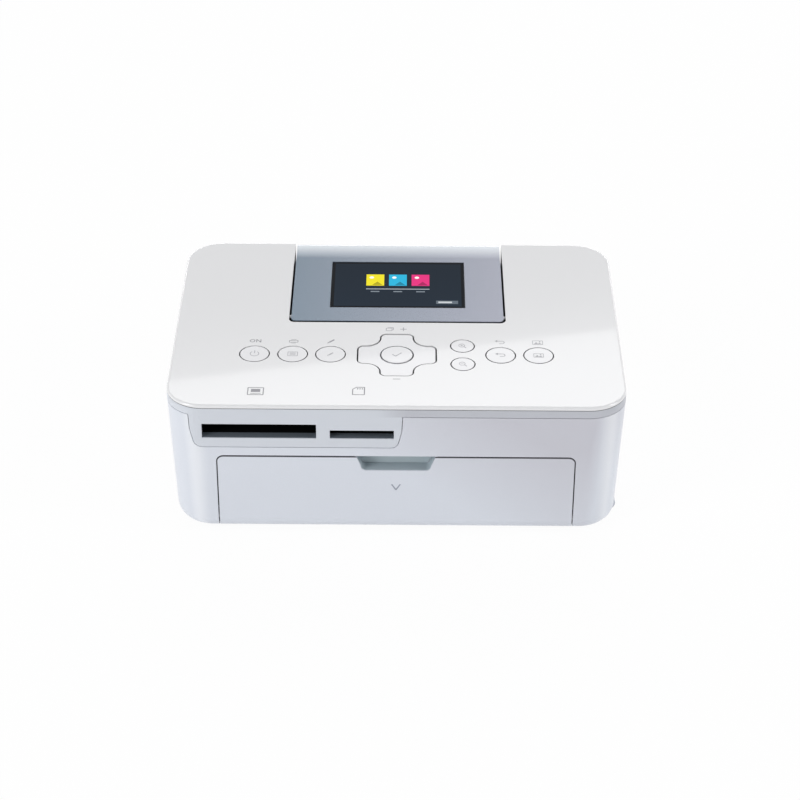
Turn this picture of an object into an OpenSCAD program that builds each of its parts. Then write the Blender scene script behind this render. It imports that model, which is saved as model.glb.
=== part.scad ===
// Compact photo printer, built as separate pieces around one print mechanism.
// Millimetres. X to the viewer's right, Y to the rear, Z up; origin at the centre of the footprint.

/* [Body] */
// Overall width, side to side
body_w = 178; // [176:1:186]
// Overall depth, front to back
body_d = 127; // [127:1:134]
// Overall height, feet included
body_h = 60.5; // [60.5:0.5:64]
// Corner radius of the body seen from above
corner_r = 15; // [14:0.5:16]
// How far each side wall leans in from the seam down to the tuck
side_draft = 2.1; // [1.6:0.1:2.4]
// Radius of the tucked-under bottom edge
tuck_r = 5.5; // [5:0.1:5.8]
// Wall thickness of the case
wall = 2; // [1.8:0.1:2.2]
// Height of the rubber feet below the case
foot_h = 2; // [1.5:0.1:2.2]
// Diameter of a rubber foot
foot_d = 10; // [8:0.5:12]

/* [Covers and seams] */
// Thickness of the glossy top cover
plate_t = 1.6; // [1.4:0.1:1.8]
// Height of the band under the top cover
band_h = 3.2; // [3:0.1:3.4]
// Thickness of the deck inside the band
deck_t = 1.6; // [1.4:0.1:1.8]
// Open seam between the band and the lower housing
seam_gap = 0.25; // [0.2:0.05:0.4]
// Gap round the two doors
panel_gap = 0.35; // [0.3:0.05:0.5]
// Thickness of the bottom plate
base_t = 2; // [1.8:0.1:2.2]

/* [Front door] */
// Distance of the paper bay door's ends from the sides of the body
door_side = 19.6; // [19.1:0.1:23]
// Distance of the door's top edge above the inside of the paper bay
door_over = 1; // [0.6:0.1:1.4]
// Thickness of the door
door_t = 2.2; // [2:0.1:2.4]
// Radius of the door's upper corners
door_corner_r = 2.5; // [1:0.5:4]
// Width of the finger notch at its top
notch_w = 30.7; // [26:0.5:34]
// Height of the finger notch
notch_h = 6.4; // [5:0.2:8]
// Depth of the pocket behind the finger notch
notch_depth = 5.6; // [5:0.1:6]

/* [Ink door] */
// Distance of the side door's ends from the front and the rear of the body
ink_door_end = 15; // [15:0.1:15.5]
// Distance of the side door's top edge below the top of the body
ink_door_drop = 10.5; // [9.5:0.5:11.5]
// Thickness of the side door
ink_door_t = 2; // [1.8:0.1:2.2]
// Radius of the hinge barrel along the side door's foot
barrel_r = 3.4; // [3.2:0.1:3.5]

/* [Screen] */
// Width of the tilting screen unit
lcd_w = 86; // [84:0.5:88]
// Distance of the screen unit's front edge ahead of the middle of the body
lcd_front = 0.4; // [-1.2:0.1:0.8]
// Thickness of the tilting screen unit
lcd_t = 8.6; // [8.4:0.1:8.6]
// Gap between the screen unit and its recess
lcd_gap = 0.85; // [0.7:0.05:1]
// Skin thickness of the screen unit
lcd_skin = 1.4; // [1.2:0.1:1.6]
// Radius of the screen unit's rear top edge
lcd_edge_r = 2; // [1.8:0.1:3]
// Width of the screen window
window_w = 55.2; // [50:0.5:57]
// Depth of the screen window
window_d = 37.3; // [34:0.5:39]
// Distance from the screen unit's front edge to the window
window_setback = 10.7; // [10:0.1:12]

/* [Controls] */
// Diameter of a large round key
key_d = 11.7; // [10:0.1:12.5]
// Diameter of a zoom key
zoom_key_d = 9.4; // [8:0.1:10.4]
// Diameter of the middle key
ok_key_d = 12.6; // [12:0.1:12.8]
// Gap round every key
key_gap = 0.25; // [0.2:0.05:0.35]
// Travel of every key
key_travel = 0.6; // [0.3:0.05:0.6]
// Span of the cross pad
pad_span = 31; // [30:0.2:32]
// Width of one arm of the cross pad
pad_arm_w = 13; // [12:0.2:14]
// Radius of the inner blends of the cross pad
pad_blend_r = 6; // [5:0.2:6.5]
// Radius of the outer corners of the cross pad
pad_corner_r = 2.4; // [1.5:0.1:3]
// Distance of the key row behind the front face
key_row_setback = 37.6; // [37:0.2:38.4]
// Spacing of the two zoom keys
zoom_pitch = 13.5; // [12.5:0.1:14.5]

/* [Card slots] */
// Width of the large card slot
large_slot_w = 44.1; // [43.5:0.1:45]
// Height of the large card slot
large_slot_h = 6.4; // [6:0.1:6.8]
// Width of the small card slot
small_slot_w = 24.7; // [24.5:0.1:26]
// Height of the small card slot
small_slot_h = 3.8; // [3.4:0.1:4.4]
// Length of the large card socket behind the case
large_socket_l = 34; // [32:0.5:36]
// Length of the small card socket behind the case
small_socket_l = 26; // [22:0.5:30]
// Wall of the card sockets
socket_wall = 0.7; // [0.6:0.05:0.8]

/* [Paper path] */
// Free width of the print mechanism beside the paper, on each side
paper_side = 10.8; // [9.8:0.1:12.8]
// Height of the paper path above the bottom of the case
paper_rise = 18; // [18:0.1:18.2]
// Width of the frame beside the mouth of the paper bay
bay_frame = 7.9; // [7.4:0.1:9.9]
// Radius of the platen roller
platen_r = 6; // [5.6:0.1:6]
// Radius of the steel feed roller and of its pinch roller
feed_r = 3; // [2.8:0.1:3]
// Radius of the pick-up roller
pickup_r = 6; // [5.8:0.1:6]
// Free height left for the paper between two rollers
nip_gap = 0.3; // [0.3:0.05:0.4]
// Running clearance of shafts in their bores, on the radius
run_fit = 0.05; // [0.03:0.01:0.08]

/* [Ink cassette] */
// Radius of the supply side of the ink cassette
supply_case_r = 9.3; // [9:0.1:9.3]
// Radius of the take-up side of the ink cassette
takeup_case_r = 9.5; // [9:0.1:9.5]
// Wall of the ink cassette
cassette_wall = 0.9; // [0.8:0.1:1]
// Radius of the fresh ribbon on the supply spool
supply_roll_r = 7.8; // [6:0.1:8]
// Radius of the used ribbon on the take-up spool
takeup_roll_r = 5; // [4.6:0.1:7]
// Angle the print head swings down from rest
head_lift = 8.5; // [8:0.1:8.6]

/* [Drive] */
// Gear module
gear_mod = 0.5; // [0.5]
// Teeth of the motor pinion
pinion_teeth = 12; // [12]
// Teeth of the feed roller gear
feed_teeth = 28; // [28]
// Width of the cooling fan
fan_w = 24; // [22:0.5:24]

/* [Hidden] */
$fn = 64;
seam_fn = 48;

// Colours
white = [0.90, 0.90, 0.91];
case_white = [0.80, 0.81, 0.86];
band_grey = [0.80, 0.80, 0.82];
silver = [0.60, 0.64, 0.70];
inner_grey = [0.45, 0.50, 0.52];
black = [0.06, 0.06, 0.07];
steel = [0.68, 0.69, 0.71];
brass = [0.75, 0.62, 0.30];
board_green = [0.10, 0.35, 0.22];
rubber = [0.12, 0.12, 0.13];
acetal = [0.88, 0.87, 0.82];

// Heights of the case
half_w = body_w/2;
half_d = body_d/2;
front_y = -half_d;
bottom_z = foot_h;
base_top = bottom_z + base_t;
tuck_z = bottom_z + tuck_r;
plate_z = body_h - plate_t;
seam_z = plate_z - band_h;
housing_top = seam_z - seam_gap;
deck_z = plate_z - deck_t;
face_gap = 0.1;
screw_post_r = 3.5;
screw_r = 1.15;
screw_x = half_w - 14.5;
screw_y = half_d - 11.5;
foot_x = half_w - 21;
foot_y = half_d - 17.5;
foot_seat = 0.6;
rear_in = half_d - wall - 0.2;
vent_pitch = 6;
vent_w = 2.4;
base_fit = 0.2;
pin_r = 1;
pin_fit = 0.02;

// Front door
door_axis_y = front_y + tuck_r;
door_axis_z = bottom_z + tuck_r;
door_half = half_w - door_side;
cheek_t = 3;
cheek_r = 3.3;
pin_block_gap = 0.7;
pin_block_t = 3.4;
door_pin_end = door_half + pin_block_gap + pin_block_t;
notch_slope = 2.15;
pocket_wall = 1.2;

// Side door, hinged on a barrel along its foot
barrel_x = half_w - 4.8;
barrel_z = bottom_z + barrel_r;
ink_door_half = half_d - ink_door_end;
ink_pin_end = ink_door_half + pin_block_gap + pin_block_t;
ink_door_top_z = body_h - ink_door_drop;
ink_panel_x = half_w - 11;
ink_panel_t = 1.2;

// Screen unit
lcd_y = -lcd_front;
lcd_d = half_d - 0.3 - lcd_y;
lcd_z = body_h - lcd_t;
lcd_half = lcd_w/2;
lcd_recess_half = lcd_half + lcd_gap;
lcd_axis_y = lcd_y + 8;
lcd_axis_z = body_h - 3.5;
lcd_nose = 6.4;
lcd_split_z = body_h - 5.1;
tray_t = 1.2;
tray_wall = 1.75;
tray_top = lcd_z - 0.9;
glass_t = 1.2;
glass_gap = 0.15;
display_t = 4;

// Keys and cross pad
key_y = front_y + key_row_setback;
pad_y = key_y;
flange_t = 0.8;
flange_lip = 0.9;
flange_top = deck_z - 0.25;
key_under = flange_top - flange_t;
dome_top = key_under - key_travel - face_gap;
board_t = 1.2;
button_board_z = deck_z - 3.1 - board_t;
pad_top = body_h - 0.2;
pad_under = deck_z - 0.4;
pad_hub_under = deck_z + 0.3;
pad_nub_reach = 11.5;
pad_clear = 0.3;
ok_hole_r = ok_key_d/2 + 0.45;
pivot_in_r = ok_key_d/2 + 1.2;
pivot_out_r = pivot_in_r + 1.7;
pivot_z = button_board_z + board_t + 1;
pivot_t = 1.2;
KEYS = [["power", -56.3, 0, key_d], ["menu", -41.2, 0, key_d], ["edit", -26.25, 0, key_d],
        ["zoom_in", 26, zoom_pitch/2, zoom_key_d], ["zoom_out", 26, -zoom_pitch/2, zoom_key_d],
        ["back", 41, 0, key_d], ["print", 56, 0, key_d]];

// Card slots, board and paper bay, stacked down from the button board
main_board_t = 1.4;
slot_z = button_board_z - 0.3 - socket_wall - large_slot_h;
main_board_z = slot_z - 2.2 - main_board_t;
main_board_half = half_w - 12;
bay_post_h = 4.6;
bay_wall = 1.2;
bay_floor = bottom_z + 7.2;
bay_top = main_board_z - bay_post_h - bay_wall;
bay_h = bay_top - bay_floor;
bay_half = door_half - cheek_t - 0.5 - bay_frame;
bay_w = 2*bay_half;
door_top_z = bay_top + door_over;

// Side plates of the mechanism
plate_x = half_w - 28.2;
plate_sheet = 1.2;
plate_out = plate_x + plate_sheet;
plate_rear = half_d - 11.5;
plate_top = bottom_z + 47.2;
shaft_end = plate_out + 0.3;
gear_x = -plate_out - 4;
gear_t = 3.2;
gearbox_x = gear_x - 0.4 - plate_sheet;

// Paper path
paper_w = 2*(plate_x - paper_side);
bay_front = front_y + 2.9;
paper_z = bottom_z + paper_rise;
platen_y = half_d - 39.5;
platen_z = paper_z - platen_r - 0.2;
feed_y = platen_y - 16;
feed_z = paper_z - feed_r - 0.1;
pinch_z = feed_z + 2*feed_r + nip_gap;
pickup_z = paper_z + pickup_r;
pickup_teeth = round(feed_teeth*pickup_r/feed_r);
gear_reach = gear_mod*(feed_teeth + pickup_teeth)/2;
pickup_y = feed_y - sqrt(gear_reach*gear_reach - (pickup_z - feed_z)*(pickup_z - feed_z));
bay_rear = pickup_y - pickup_r - 1.1;
motor_y = pickup_y - gear_mod*(pinion_teeth + pickup_teeth)/2;
roller_half = paper_w/2 + 2;
feed_half = roller_half + 2;
film_half = paper_w/2 + 1;
guide_top = paper_z - 0.6;
guide_under = guide_top - 1.2;
shelf_rear = feed_y - feed_r - 0.6;
platen_shaft_r = 2.5;
feed_shaft_r = 2;
pinch_shaft_r = 1.5;
pickup_shaft_r = 2;
pickup_tyre_w = 12;
pickup_tyre_x = 20;
feed_motor_end = -half_w + 6.4;
ribbon_motor_end = -half_w + 8.4;

// Print head
head_axis_y = platen_y + 24;
head_axis_z = paper_z + 25.5;
head_shaft_r = 2;
head_knuckle_r = 3.5;
head_under = paper_z + 0.9;
head_bar_t = 2;
head_w = 8;
fin_pitch = 6;
fin_gap = 2.4;
arm_z = head_axis_z - 2.9;
arm_t = 1.2;

// Ink cassette
takeup_y = platen_y - 24;
takeup_z = paper_z + 18;
supply_y = platen_y + 14.5;
supply_z = paper_z + 11.5;
film_t = 0.25;
film_z = paper_z + 0.35;
link_z = film_z + film_t;
cassette_half = plate_x - 2.8;
cap_t = 2;
spool_core_r = 4;
journal_r = 3;
hub_shaft_r = 1.2;
hub_r = 3.5;
socket_r = hub_r + 0.1;
bar_r = 0.9;
bar_z = link_z + 0.1 + bar_r;
takeup_bar = 13.6;
supply_bar = 8.2;
grip_out = half_w - 15.5;
grip_y = takeup_y + 12.4;
grip_z = link_z + 0.3;
grip_l = 18;
grip_h = 13;
grip_wall = 1.6;
passage = 0.6;

// Boards and sockets
large_slot_x = -half_w + 36.2;
small_slot_x = large_slot_x + 39.6;
apron_left = large_slot_x - large_slot_w/2 - 5.1;
apron_right = small_slot_x + small_slot_w/2 + 3.4;
apron_foot = slot_z - 4.1;
apron_r = 3;
apron_slope = 1.6;
socket_front = front_y + wall + 0.7;
interface_z = bottom_z + 10.6;
interface_x = -half_w + 5;
interface_front = half_d - 57.5;
interface_rear = half_d - 15.5;
port_in_x = -half_w + 15;
port_y = interface_front + 8;
port2_y = interface_front + 28;
jack_x = -half_w + 22.6;
jack_z = interface_z + 7;
fan_x = half_w - 30.5;
fan_z = base_top + 20.8 + fan_w/2;
fan_y = half_d - wall - 7.3;
fan_t = 7;
grille_pitch = 3.2;
grille_slot = 1.8;

// ---------------------------------------------------------------- helpers

// Block between two opposite corners
module block(x0, x1, y0, y1, z0, z1) {
    translate([x0, y0, z0]) cube([x1 - x0, y1 - y0, z1 - z0]);
}

// The children and their mirror image across the middle of the body
module both_sides() {
    children();
    mirror([1, 0, 0]) children();
}

// Outline drawn as (y, z), run along X
module along_x(x0, x1) {
    translate([x0, 0, 0]) rotate([90, 0, 90]) linear_extrude(x1 - x0) children();
}

// Outline drawn as (x, z), run along Y
module along_y(y0, y1) {
    translate([0, y1, 0]) rotate([90, 0, 0]) linear_extrude(y1 - y0) children();
}

// Rod along X
module rod_x(x0, x1, y, z, r) {
    along_x(x0, x1) translate([y, z]) circle(r);
}

// Rod along Y
module rod_y(y0, y1, x, z, r) {
    along_y(y0, y1) translate([x, z]) circle(r);
}

// Rectangle with round corners
module rounded_plan(w, d, r) {
    square([w - 2*r, d], center = true);
    square([w, d - 2*r], center = true);
    for (sx = [-1, 1], sy = [-1, 1])
        translate([sx*(w/2 - r), sy*(d/2 - r)]) circle(r);
}

module slab(w, d, r, z0, z1) {
    translate([0, 0, z0]) linear_extrude(z1 - z0) rounded_plan(w, d, r);
}

// Inset of a side wall at a height
function lean(z) = side_draft*min(1, (housing_top - z)/(housing_top - tuck_z));

module form_slice(z, in_x, in_y, r) {
    translate([0, 0, z]) linear_extrude(0.01)
        rounded_plan(body_w - 2*in_x, body_d - 2*in_y, r, $fn = seam_fn);
}

// Leaning, tucked-under form of the lower case, drawn in by inset
module case_form(inset, z_top) {
    r_in = tuck_r - inset;
    hull() {
        form_slice(z_top - 0.01, lean(z_top) + inset, inset, corner_r - inset);
        for (a = [0:15:90]) {
            pull = inset + r_in*(1 - cos(a));
            form_slice(tuck_z - r_in*sin(a), side_draft + pull, pull, corner_r - pull);
        }
    }
}

module case_shell(z_top) {
    difference() {
        case_form(0, z_top);
        case_form(wall, z_top + 1);
    }
}

// Card-slot apron seen from the front, grown by grow
module apron_plan(grow) {
    mid = apron_slope;
    left = apron_left - grow;
    right = apron_right + grow;
    foot = apron_foot - grow;
    r = apron_r + grow;
    polygon([[left, plate_z], [left + mid*0.3, foot + r*2.4], [left + mid, foot + r*0.9],
             [left + mid + r, foot + r*0.9], [right - mid - r, foot + r*0.9], [right - mid, foot + r*0.9],
             [right - mid*0.3, foot + r*2.4], [right, plate_z]]);
    translate([left + mid + r, foot + r]) circle(r);
    translate([right - mid - r, foot + r]) circle(r);
    translate([left + mid + r, foot]) square([right - left - 2*mid - 2*r, r]);
}

// Door face seen from the front
module door_plan(half, top, r) {
    translate([-half, door_axis_z]) square([2*half, top - r - door_axis_z]);
    translate([-half + r, door_axis_z]) square([2*half - 2*r, top - door_axis_z]);
    for (s = [-1, 1]) translate([s*(half - r), top - r]) circle(r);
}

// Side door seen from the side, as (y, z)
module ink_door_plan(half, top, foot, r) {
    translate([-half, foot]) square([2*half, top - r - foot]);
    translate([-half + r, foot]) square([2*half - 2*r, top - foot]);
    for (s = [-1, 1]) translate([s*(half - r), top - r]) circle(r);
}

// Cross with blended inner corners, grown by grow
module cross_plan(grow) {
    arm = pad_arm_w/2 + grow;
    blend = pad_blend_r - grow;
    difference() {
        union() {
            rounded_plan(pad_span + 2*grow, 2*arm, pad_corner_r + grow);
            rounded_plan(2*arm, pad_span + 2*grow, pad_corner_r + grow);
            square(2*(arm + blend), center = true);
        }
        for (a = [0:90:270]) rotate(a)
            translate([arm + pad_span/2, arm + pad_span/2]) rounded_plan(pad_span, pad_span, blend);
    }
}

// Gear outline with straight-flanked teeth, one tooth on the +x axis
module gear_plan(teeth) {
    pitch_r = gear_mod*teeth/2;
    tip_r = pitch_r + 0.9*gear_mod;
    root_r = pitch_r - 1.2*gear_mod;
    step = 360/teeth;
    polygon([for (i = [0:teeth - 1], k = [[root_r, -0.34], [tip_r, -0.12], [tip_r, 0.12], [root_r, 0.34]])
             k[0]*[cos((i + k[1])*step), sin((i + k[1])*step)]]);
}

// Fixed holes of one side plate, one bore for each shaft it carries
module shaft_bores(fit) {
    translate([platen_y, platen_z]) circle(platen_shaft_r + fit);
    translate([feed_y, feed_z]) circle(feed_shaft_r + fit);
    translate([feed_y, pinch_z]) circle(pinch_shaft_r + fit);
    translate([pickup_y, pickup_z]) circle(pickup_shaft_r + fit);
}

// End view of the ink cassette, as (y, z), grown by grow
module cassette_plan(grow) {
    translate([takeup_y, takeup_z]) circle(takeup_case_r + grow);
    translate([supply_y, supply_z]) circle(supply_case_r + grow);
    polygon([[takeup_y + 2, takeup_z - 8], [takeup_y + 11.6 - grow, link_z + 7.4],
             [takeup_y + 11.6 - grow, link_z - grow], [supply_y - 5.5, link_z - grow],
             [supply_y, supply_z - 8], [supply_y - 8 - grow, supply_z - 4],
             [supply_y - 9 - grow, link_z + 3 + grow], [takeup_y + 15.6 + grow, link_z + 3 + grow],
             [takeup_y + 15.6 + grow, link_z + 9.4 + grow], [takeup_y + 9, takeup_z]]);
}

module grip_plan(grow) {
    translate([grip_y - grow, grip_z - grow]) square([grip_l + 2*grow, grip_h + 2*grow]);
}

// ---------------------------------------------------------------- case

module top_plate() {
    color(white) difference() {
        slab(body_w, body_d, corner_r, plate_z + face_gap, body_h);
        block(-lcd_recess_half, lcd_recess_half, lcd_y - 1.15, half_d + 1, plate_z, body_h + 1);
        for (k = KEYS) translate([k[1], key_y + k[2], plate_z]) cylinder(h = 3, r = k[3]/2 + key_gap);
        translate([0, pad_y, plate_z]) linear_extrude(3) cross_plan(pad_clear);
    }
}

module upper_frame() {
    lip_in = wall + 0.3;
    color(band_grey) difference() {
        union() {
            difference() {
                slab(body_w, body_d, corner_r, seam_z, plate_z);
                slab(body_w - 2*wall, body_d - 2*wall, corner_r - wall, seam_z - 1, deck_z);
            }
            difference() {
                slab(body_w - 2*lip_in, body_d - 2*lip_in, corner_r - lip_in, seam_z - 3, deck_z + 0.1);
                slab(body_w - 2*lip_in - 2.4, body_d - 2*lip_in - 2.4, corner_r - lip_in - 1.2,
                     seam_z - 4, deck_z);
            }
            intersection() {
                case_shell(housing_top + 1);
                along_y(front_y - 1, front_y + 16) apron_plan(0);
            }
            // bosses that carry the button board
            for (x = [-63, 63], y = [key_y - 12, key_y + 12])
                translate([x, y, button_board_z + board_t])
                    cylinder(h = deck_z - button_board_z - board_t + 0.2, r = 2);
        }
        block(-lcd_recess_half - tray_wall - 0.2, lcd_recess_half + tray_wall + 0.2,
              lcd_y - lcd_gap - tray_wall - 0.4, half_d - wall - 0.1, seam_z - 6, plate_z + 1);
        block(-lcd_recess_half, lcd_recess_half, half_d - 8, half_d + 1, seam_z - 6, plate_z + 1);
        for (k = KEYS) translate([k[1], key_y + k[2], deck_z - 1]) cylinder(h = 4, r = k[3]/2 + key_gap);
        translate([0, pad_y, deck_z - 1]) linear_extrude(4) cross_plan(pad_clear);
        slot_cut(large_slot_x, large_slot_w, large_slot_h);
        slot_cut(small_slot_x, small_slot_w, small_slot_h);
        // room for the two sockets behind the apron
        block(large_slot_x - large_slot_w/2 - 2, small_slot_x + small_slot_w/2 + 3, front_y + wall,
              front_y + 12, apron_foot - 2, deck_z - 0.01);
    }
}

module slot_cut(x, w, h) {
    block(x - w/2, x + w/2, front_y - 1, front_y + wall + 1, slot_z, slot_z + h);
}

module lower_housing() {
    color(case_white) difference() {
        union() {
            difference() {
                case_shell(housing_top);
                // mouth for the bottom plate
                slab(base_w() + 2*base_fit, base_d() + 2*base_fit, base_r() + base_fit,
                     bottom_z - 1, base_top + 0.2);
            }
            intersection() {
                union() {
                    for (sx = [-1, 1], sy = [-1, 1]) {
                        translate([sx*screw_x, sy*screw_y, base_top])
                            cylinder(h = main_board_z - base_top, r = screw_post_r);
                        translate([sx*screw_x, sy*screw_y, 0])
                            block(min(0, sx*20), max(0, sx*20), -0.6, 0.6, tuck_z + 4, main_board_z - 2);
                    }
                    // blocks that hold the pins of the front door
                    both_sides() block(door_half + pin_block_gap, door_pin_end,
                                       front_y, door_axis_y + 3.2, bottom_z, door_axis_z + 4);
                    // blocks that hold the pins of the side door
                    for (s = [-1, 1])
                        translate([barrel_x, s*(ink_pin_end - pin_block_t/2), 0])
                            block(-3.9, 6, -pin_block_t/2, pin_block_t/2, bottom_z, barrel_z + 4);
                }
                case_form(wall/2, housing_top - 1);
            }
        }
        // paper bay door, also through the tucked bottom edge
        along_y(front_y - 1, front_y + wall + 0.5)
            door_plan(door_half + panel_gap, door_top_z + panel_gap, door_corner_r + panel_gap);
        block(-door_half - panel_gap, door_half + panel_gap, front_y - 1, door_axis_y + tuck_r + 0.6,
              bottom_z - 1, door_axis_z + 0.1);
        // apron of the card slots
        along_y(front_y - 1, front_y + 16) apron_plan(seam_gap);
        // side door
        along_x(barrel_x - barrel_r - 0.4, half_w + 1)
            ink_door_plan(ink_door_half + panel_gap, ink_door_top_z + panel_gap, bottom_z - 1, 2.5);
        rod_x(-door_half - 6, door_half + 6, door_axis_y, door_axis_z, pin_r + pin_fit);
        rod_y(-ink_door_half - 4.6, ink_door_half + 4.6, barrel_x, barrel_z, pin_r + pin_fit);
        // rear: room for the screen unit, the paper slot, the fan grille and the power inlet
        block(-lcd_recess_half, lcd_recess_half, half_d - wall - 1, half_d + 1,
              tray_top + 0.2, housing_top + 1);
        block(-paper_w/2 - 5, paper_w/2 + 5, half_d - wall - 2, half_d + 1, paper_z - 0.3, paper_z + 4.4);
        for (i = [-3:3]) translate([fan_x + i*grille_pitch, 0, fan_z])
            block(-grille_slot/2, grille_slot/2, half_d - wall - 1, half_d + 1, abs(i) - 10, 10 - abs(i));
        rod_y(half_d - wall - 1, half_d + 1, jack_x, jack_z, 4);
        // left: the two data ports
        block(-half_w - 1, -half_w + wall + side_draft + 0.5, port_y - 6.9, port_y + 6.9,
              interface_z + 1.2, interface_z + 7.6);
        block(-half_w - 1, -half_w + wall + side_draft + 0.5, port2_y - 4.4, port2_y + 4.4,
              interface_z + 1.2, interface_z + 6);
        for (sx = [-1, 1], sy = [-1, 1]) translate([sx*screw_x, sy*screw_y, bottom_z - 1])
            cylinder(h = 14, r = screw_r + 0.02);
    }
}

function base_w() = body_w - 2*(side_draft + tuck_r + base_fit);
function base_d() = body_d - 2*(tuck_r + base_fit);
function base_r() = corner_r - tuck_r - base_fit;

module base_plate() {
    color(case_white) union() {
        difference() {
            slab(base_w(), base_d(), base_r(), bottom_z, base_top);
            // clearance for the rolled foot of the front door
            block(-door_pin_end - 0.3, door_pin_end + 0.3, front_y, door_axis_y + tuck_r + 0.6,
                  0, base_top + 1);
            // clearance for the barrel of the side door
            block(barrel_x - 4.3, half_w, -ink_pin_end - 0.6, ink_pin_end + 0.6, 0, base_top + 1);
            for (sx = [-1, 1], sy = [-1, 1]) {
                translate([sx*foot_x, sy*foot_y, bottom_z - 1])
                    cylinder(h = 1 + foot_seat, r = foot_d/2 + 0.1);
                translate([sx*screw_x, sy*screw_y, bottom_z - 1]) cylinder(h = 4, r = screw_r + 0.25);
                translate([sx*screw_x, sy*screw_y, bottom_z - 1]) cylinder(h = 2.2, r = 2.7);
            }
            for (i = [-5:5]) block(i*vent_pitch - vent_w/2, i*vent_pitch + vent_w/2,
                                   half_d - 39.5, half_d - 19.5, 0, base_top + 1);
        }
        // posts under the interface board
        for (x = [5, 13], y = [interface_front + 3, interface_rear - 2])
            translate([interface_x + x, y, base_top]) cylinder(h = interface_z - base_top, r = 1.8);
    }
}

module rubber_feet() {
    color(rubber) for (sx = [-1, 1], sy = [-1, 1])
        translate([sx*foot_x, sy*foot_y, 0]) cylinder(h = bottom_z + foot_seat, r = foot_d/2);
}

module case_screws() {
    color(steel) for (sx = [-1, 1], sy = [-1, 1]) translate([sx*screw_x, sy*screw_y, 0]) difference() {
        union() {
            translate([0, 0, bottom_z + 0.2]) cylinder(h = 1, r = 2.5);
            translate([0, 0, bottom_z + 1]) cylinder(h = 10, r = screw_r);
        }
        for (a = [0, 90]) rotate(a) block(-1.4, 1.4, -0.25, 0.25, 0, bottom_z + 0.8);
    }
}

// Short pins of the front door, the side door and the screen unit
module hinge_pins() {
    color(steel) union() {
        both_sides()
            rod_x(door_half - cheek_t + 0.2, door_pin_end - 0.2, door_axis_y, door_axis_z, pin_r);
        for (s = [-1, 1]) scale([1, s, 1])
            rod_y(ink_door_half - 6, ink_pin_end, barrel_x, barrel_z, pin_r);
        both_sides() rod_x(lcd_half - lcd_skin - 1.2, lcd_recess_half + tray_wall - 0.2,
                           lcd_axis_y, lcd_axis_z, pin_r);
    }
}

// ---------------------------------------------------------------- front door and paper bay

// Notch seen from the front: a trapezium with round lower corners
module notch_plan(grow) {
    top = door_top_z + 1;
    foot = door_top_z - notch_h - grow;
    half = notch_w/2 + grow;
    low = half - notch_slope;
    polygon([[-half, top], [-half, door_top_z], [-low - 0.4, foot + 2], [-low + 1.6, foot + 2],
             [low - 1.6, foot + 2], [low + 0.4, foot + 2], [half, door_top_z], [half, top]]);
    for (s = [-1, 1]) translate([s*(low - 1.6), foot + 2]) circle(2);
    translate([-low + 1.6, foot]) square([2*low - 3.2, 2.1]);
}

module front_door() {
    color(case_white) difference() {
        union() {
            along_y(front_y, front_y + door_t) door_plan(door_half, door_top_z, door_corner_r);
            // rolled foot, round the hinge
            along_x(-door_half, door_half) translate([door_axis_y, door_axis_z]) difference() {
                intersection() {
                    circle(tuck_r);
                    translate([-tuck_r, -tuck_r]) square([tuck_r, tuck_r + 0.02]);
                }
                circle(tuck_r - door_t);
            }
            // cheeks on the hinge pins
            both_sides() along_x(door_half - cheek_t, door_half) {
                translate([door_axis_y, door_axis_z]) circle(cheek_r);
                translate([front_y + 0.5, door_axis_z - 0.1]) square([tuck_r - 0.5, cheek_r]);
            }
            // pocket behind the finger notch
            along_y(front_y + door_t - 0.1, front_y + notch_depth + pocket_wall) difference() {
                notch_plan(pocket_wall);
                translate([-notch_w, door_top_z - 0.4]) square([2*notch_w, 5]);
            }
            // stiffening ribs
            for (x = [-52, -34, 34, 52])
                block(x - 0.5, x + 0.5, front_y + 1, front_y + door_t + 0.35,
                      door_axis_z + 4, door_top_z - 5);
        }
        along_y(front_y - 1, front_y + notch_depth) notch_plan(0);
        rod_x(-door_half - 1, door_half + 1, door_axis_y, door_axis_z, pin_r + run_fit);
    }
}

module paper_bay() {
    flange_half = door_half - cheek_t - 0.5;
    color(inner_grey) difference() {
        union() {
            // duct
            along_y(bay_front, bay_rear) difference() {
                translate([-bay_half - bay_wall, bay_floor - bay_wall])
                    square([bay_w + 2*bay_wall, bay_h + 2*bay_wall]);
                translate([-bay_half, bay_floor]) square([bay_w, bay_h]);
            }
            // frame round the mouth
            along_y(bay_front, bay_front + 1.2) difference() {
                translate([-flange_half, bay_floor - bay_wall])
                    square([2*flange_half, door_top_z + 2.2 - bay_floor + bay_wall]);
                translate([-bay_half, bay_floor]) square([bay_w, bay_h]);
            }
            // shelf that lifts the paper to the feed roller
            block(-bay_half - bay_wall, bay_half + bay_wall, bay_rear - 1, shelf_rear,
                  bay_floor - bay_wall, bay_floor);
            block(-bay_half, bay_half, bay_rear + 2, shelf_rear, guide_under, guide_top);
            both_sides() block(bay_half, bay_half + bay_wall, bay_rear - 1, shelf_rear,
                               bay_floor - 1, paper_z + 1);
            // legs on the bottom plate
            for (x = [-45, -15, 15, 45]) block(x - 1, x + 1, door_axis_y + tuck_r + 4, bay_rear,
                                               base_top, bay_floor - bay_wall + 0.1);
            // posts under the main board
            for (x = [-bay_half + 10, bay_half - 10], y = [front_y + 12, bay_rear - 5])
                translate([x, y, bay_top + 0.1]) cylinder(h = main_board_z - bay_top - 0.1, r = 2.5);
        }
        // room for the rolled foot of the open door
        block(-half_w, half_w, front_y, door_axis_y + 1.2, 0, bay_floor - 0.2);
        // room for the pocket of the finger notch
        block(-notch_w/2 - 3, notch_w/2 + 3, front_y, front_y + notch_depth + pocket_wall + 0.5,
              door_top_z - notch_h - 3, door_top_z + 3);
    }
}

// ---------------------------------------------------------------- side door and ink bay

function wall_x(z) = half_w - lean(z);

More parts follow.
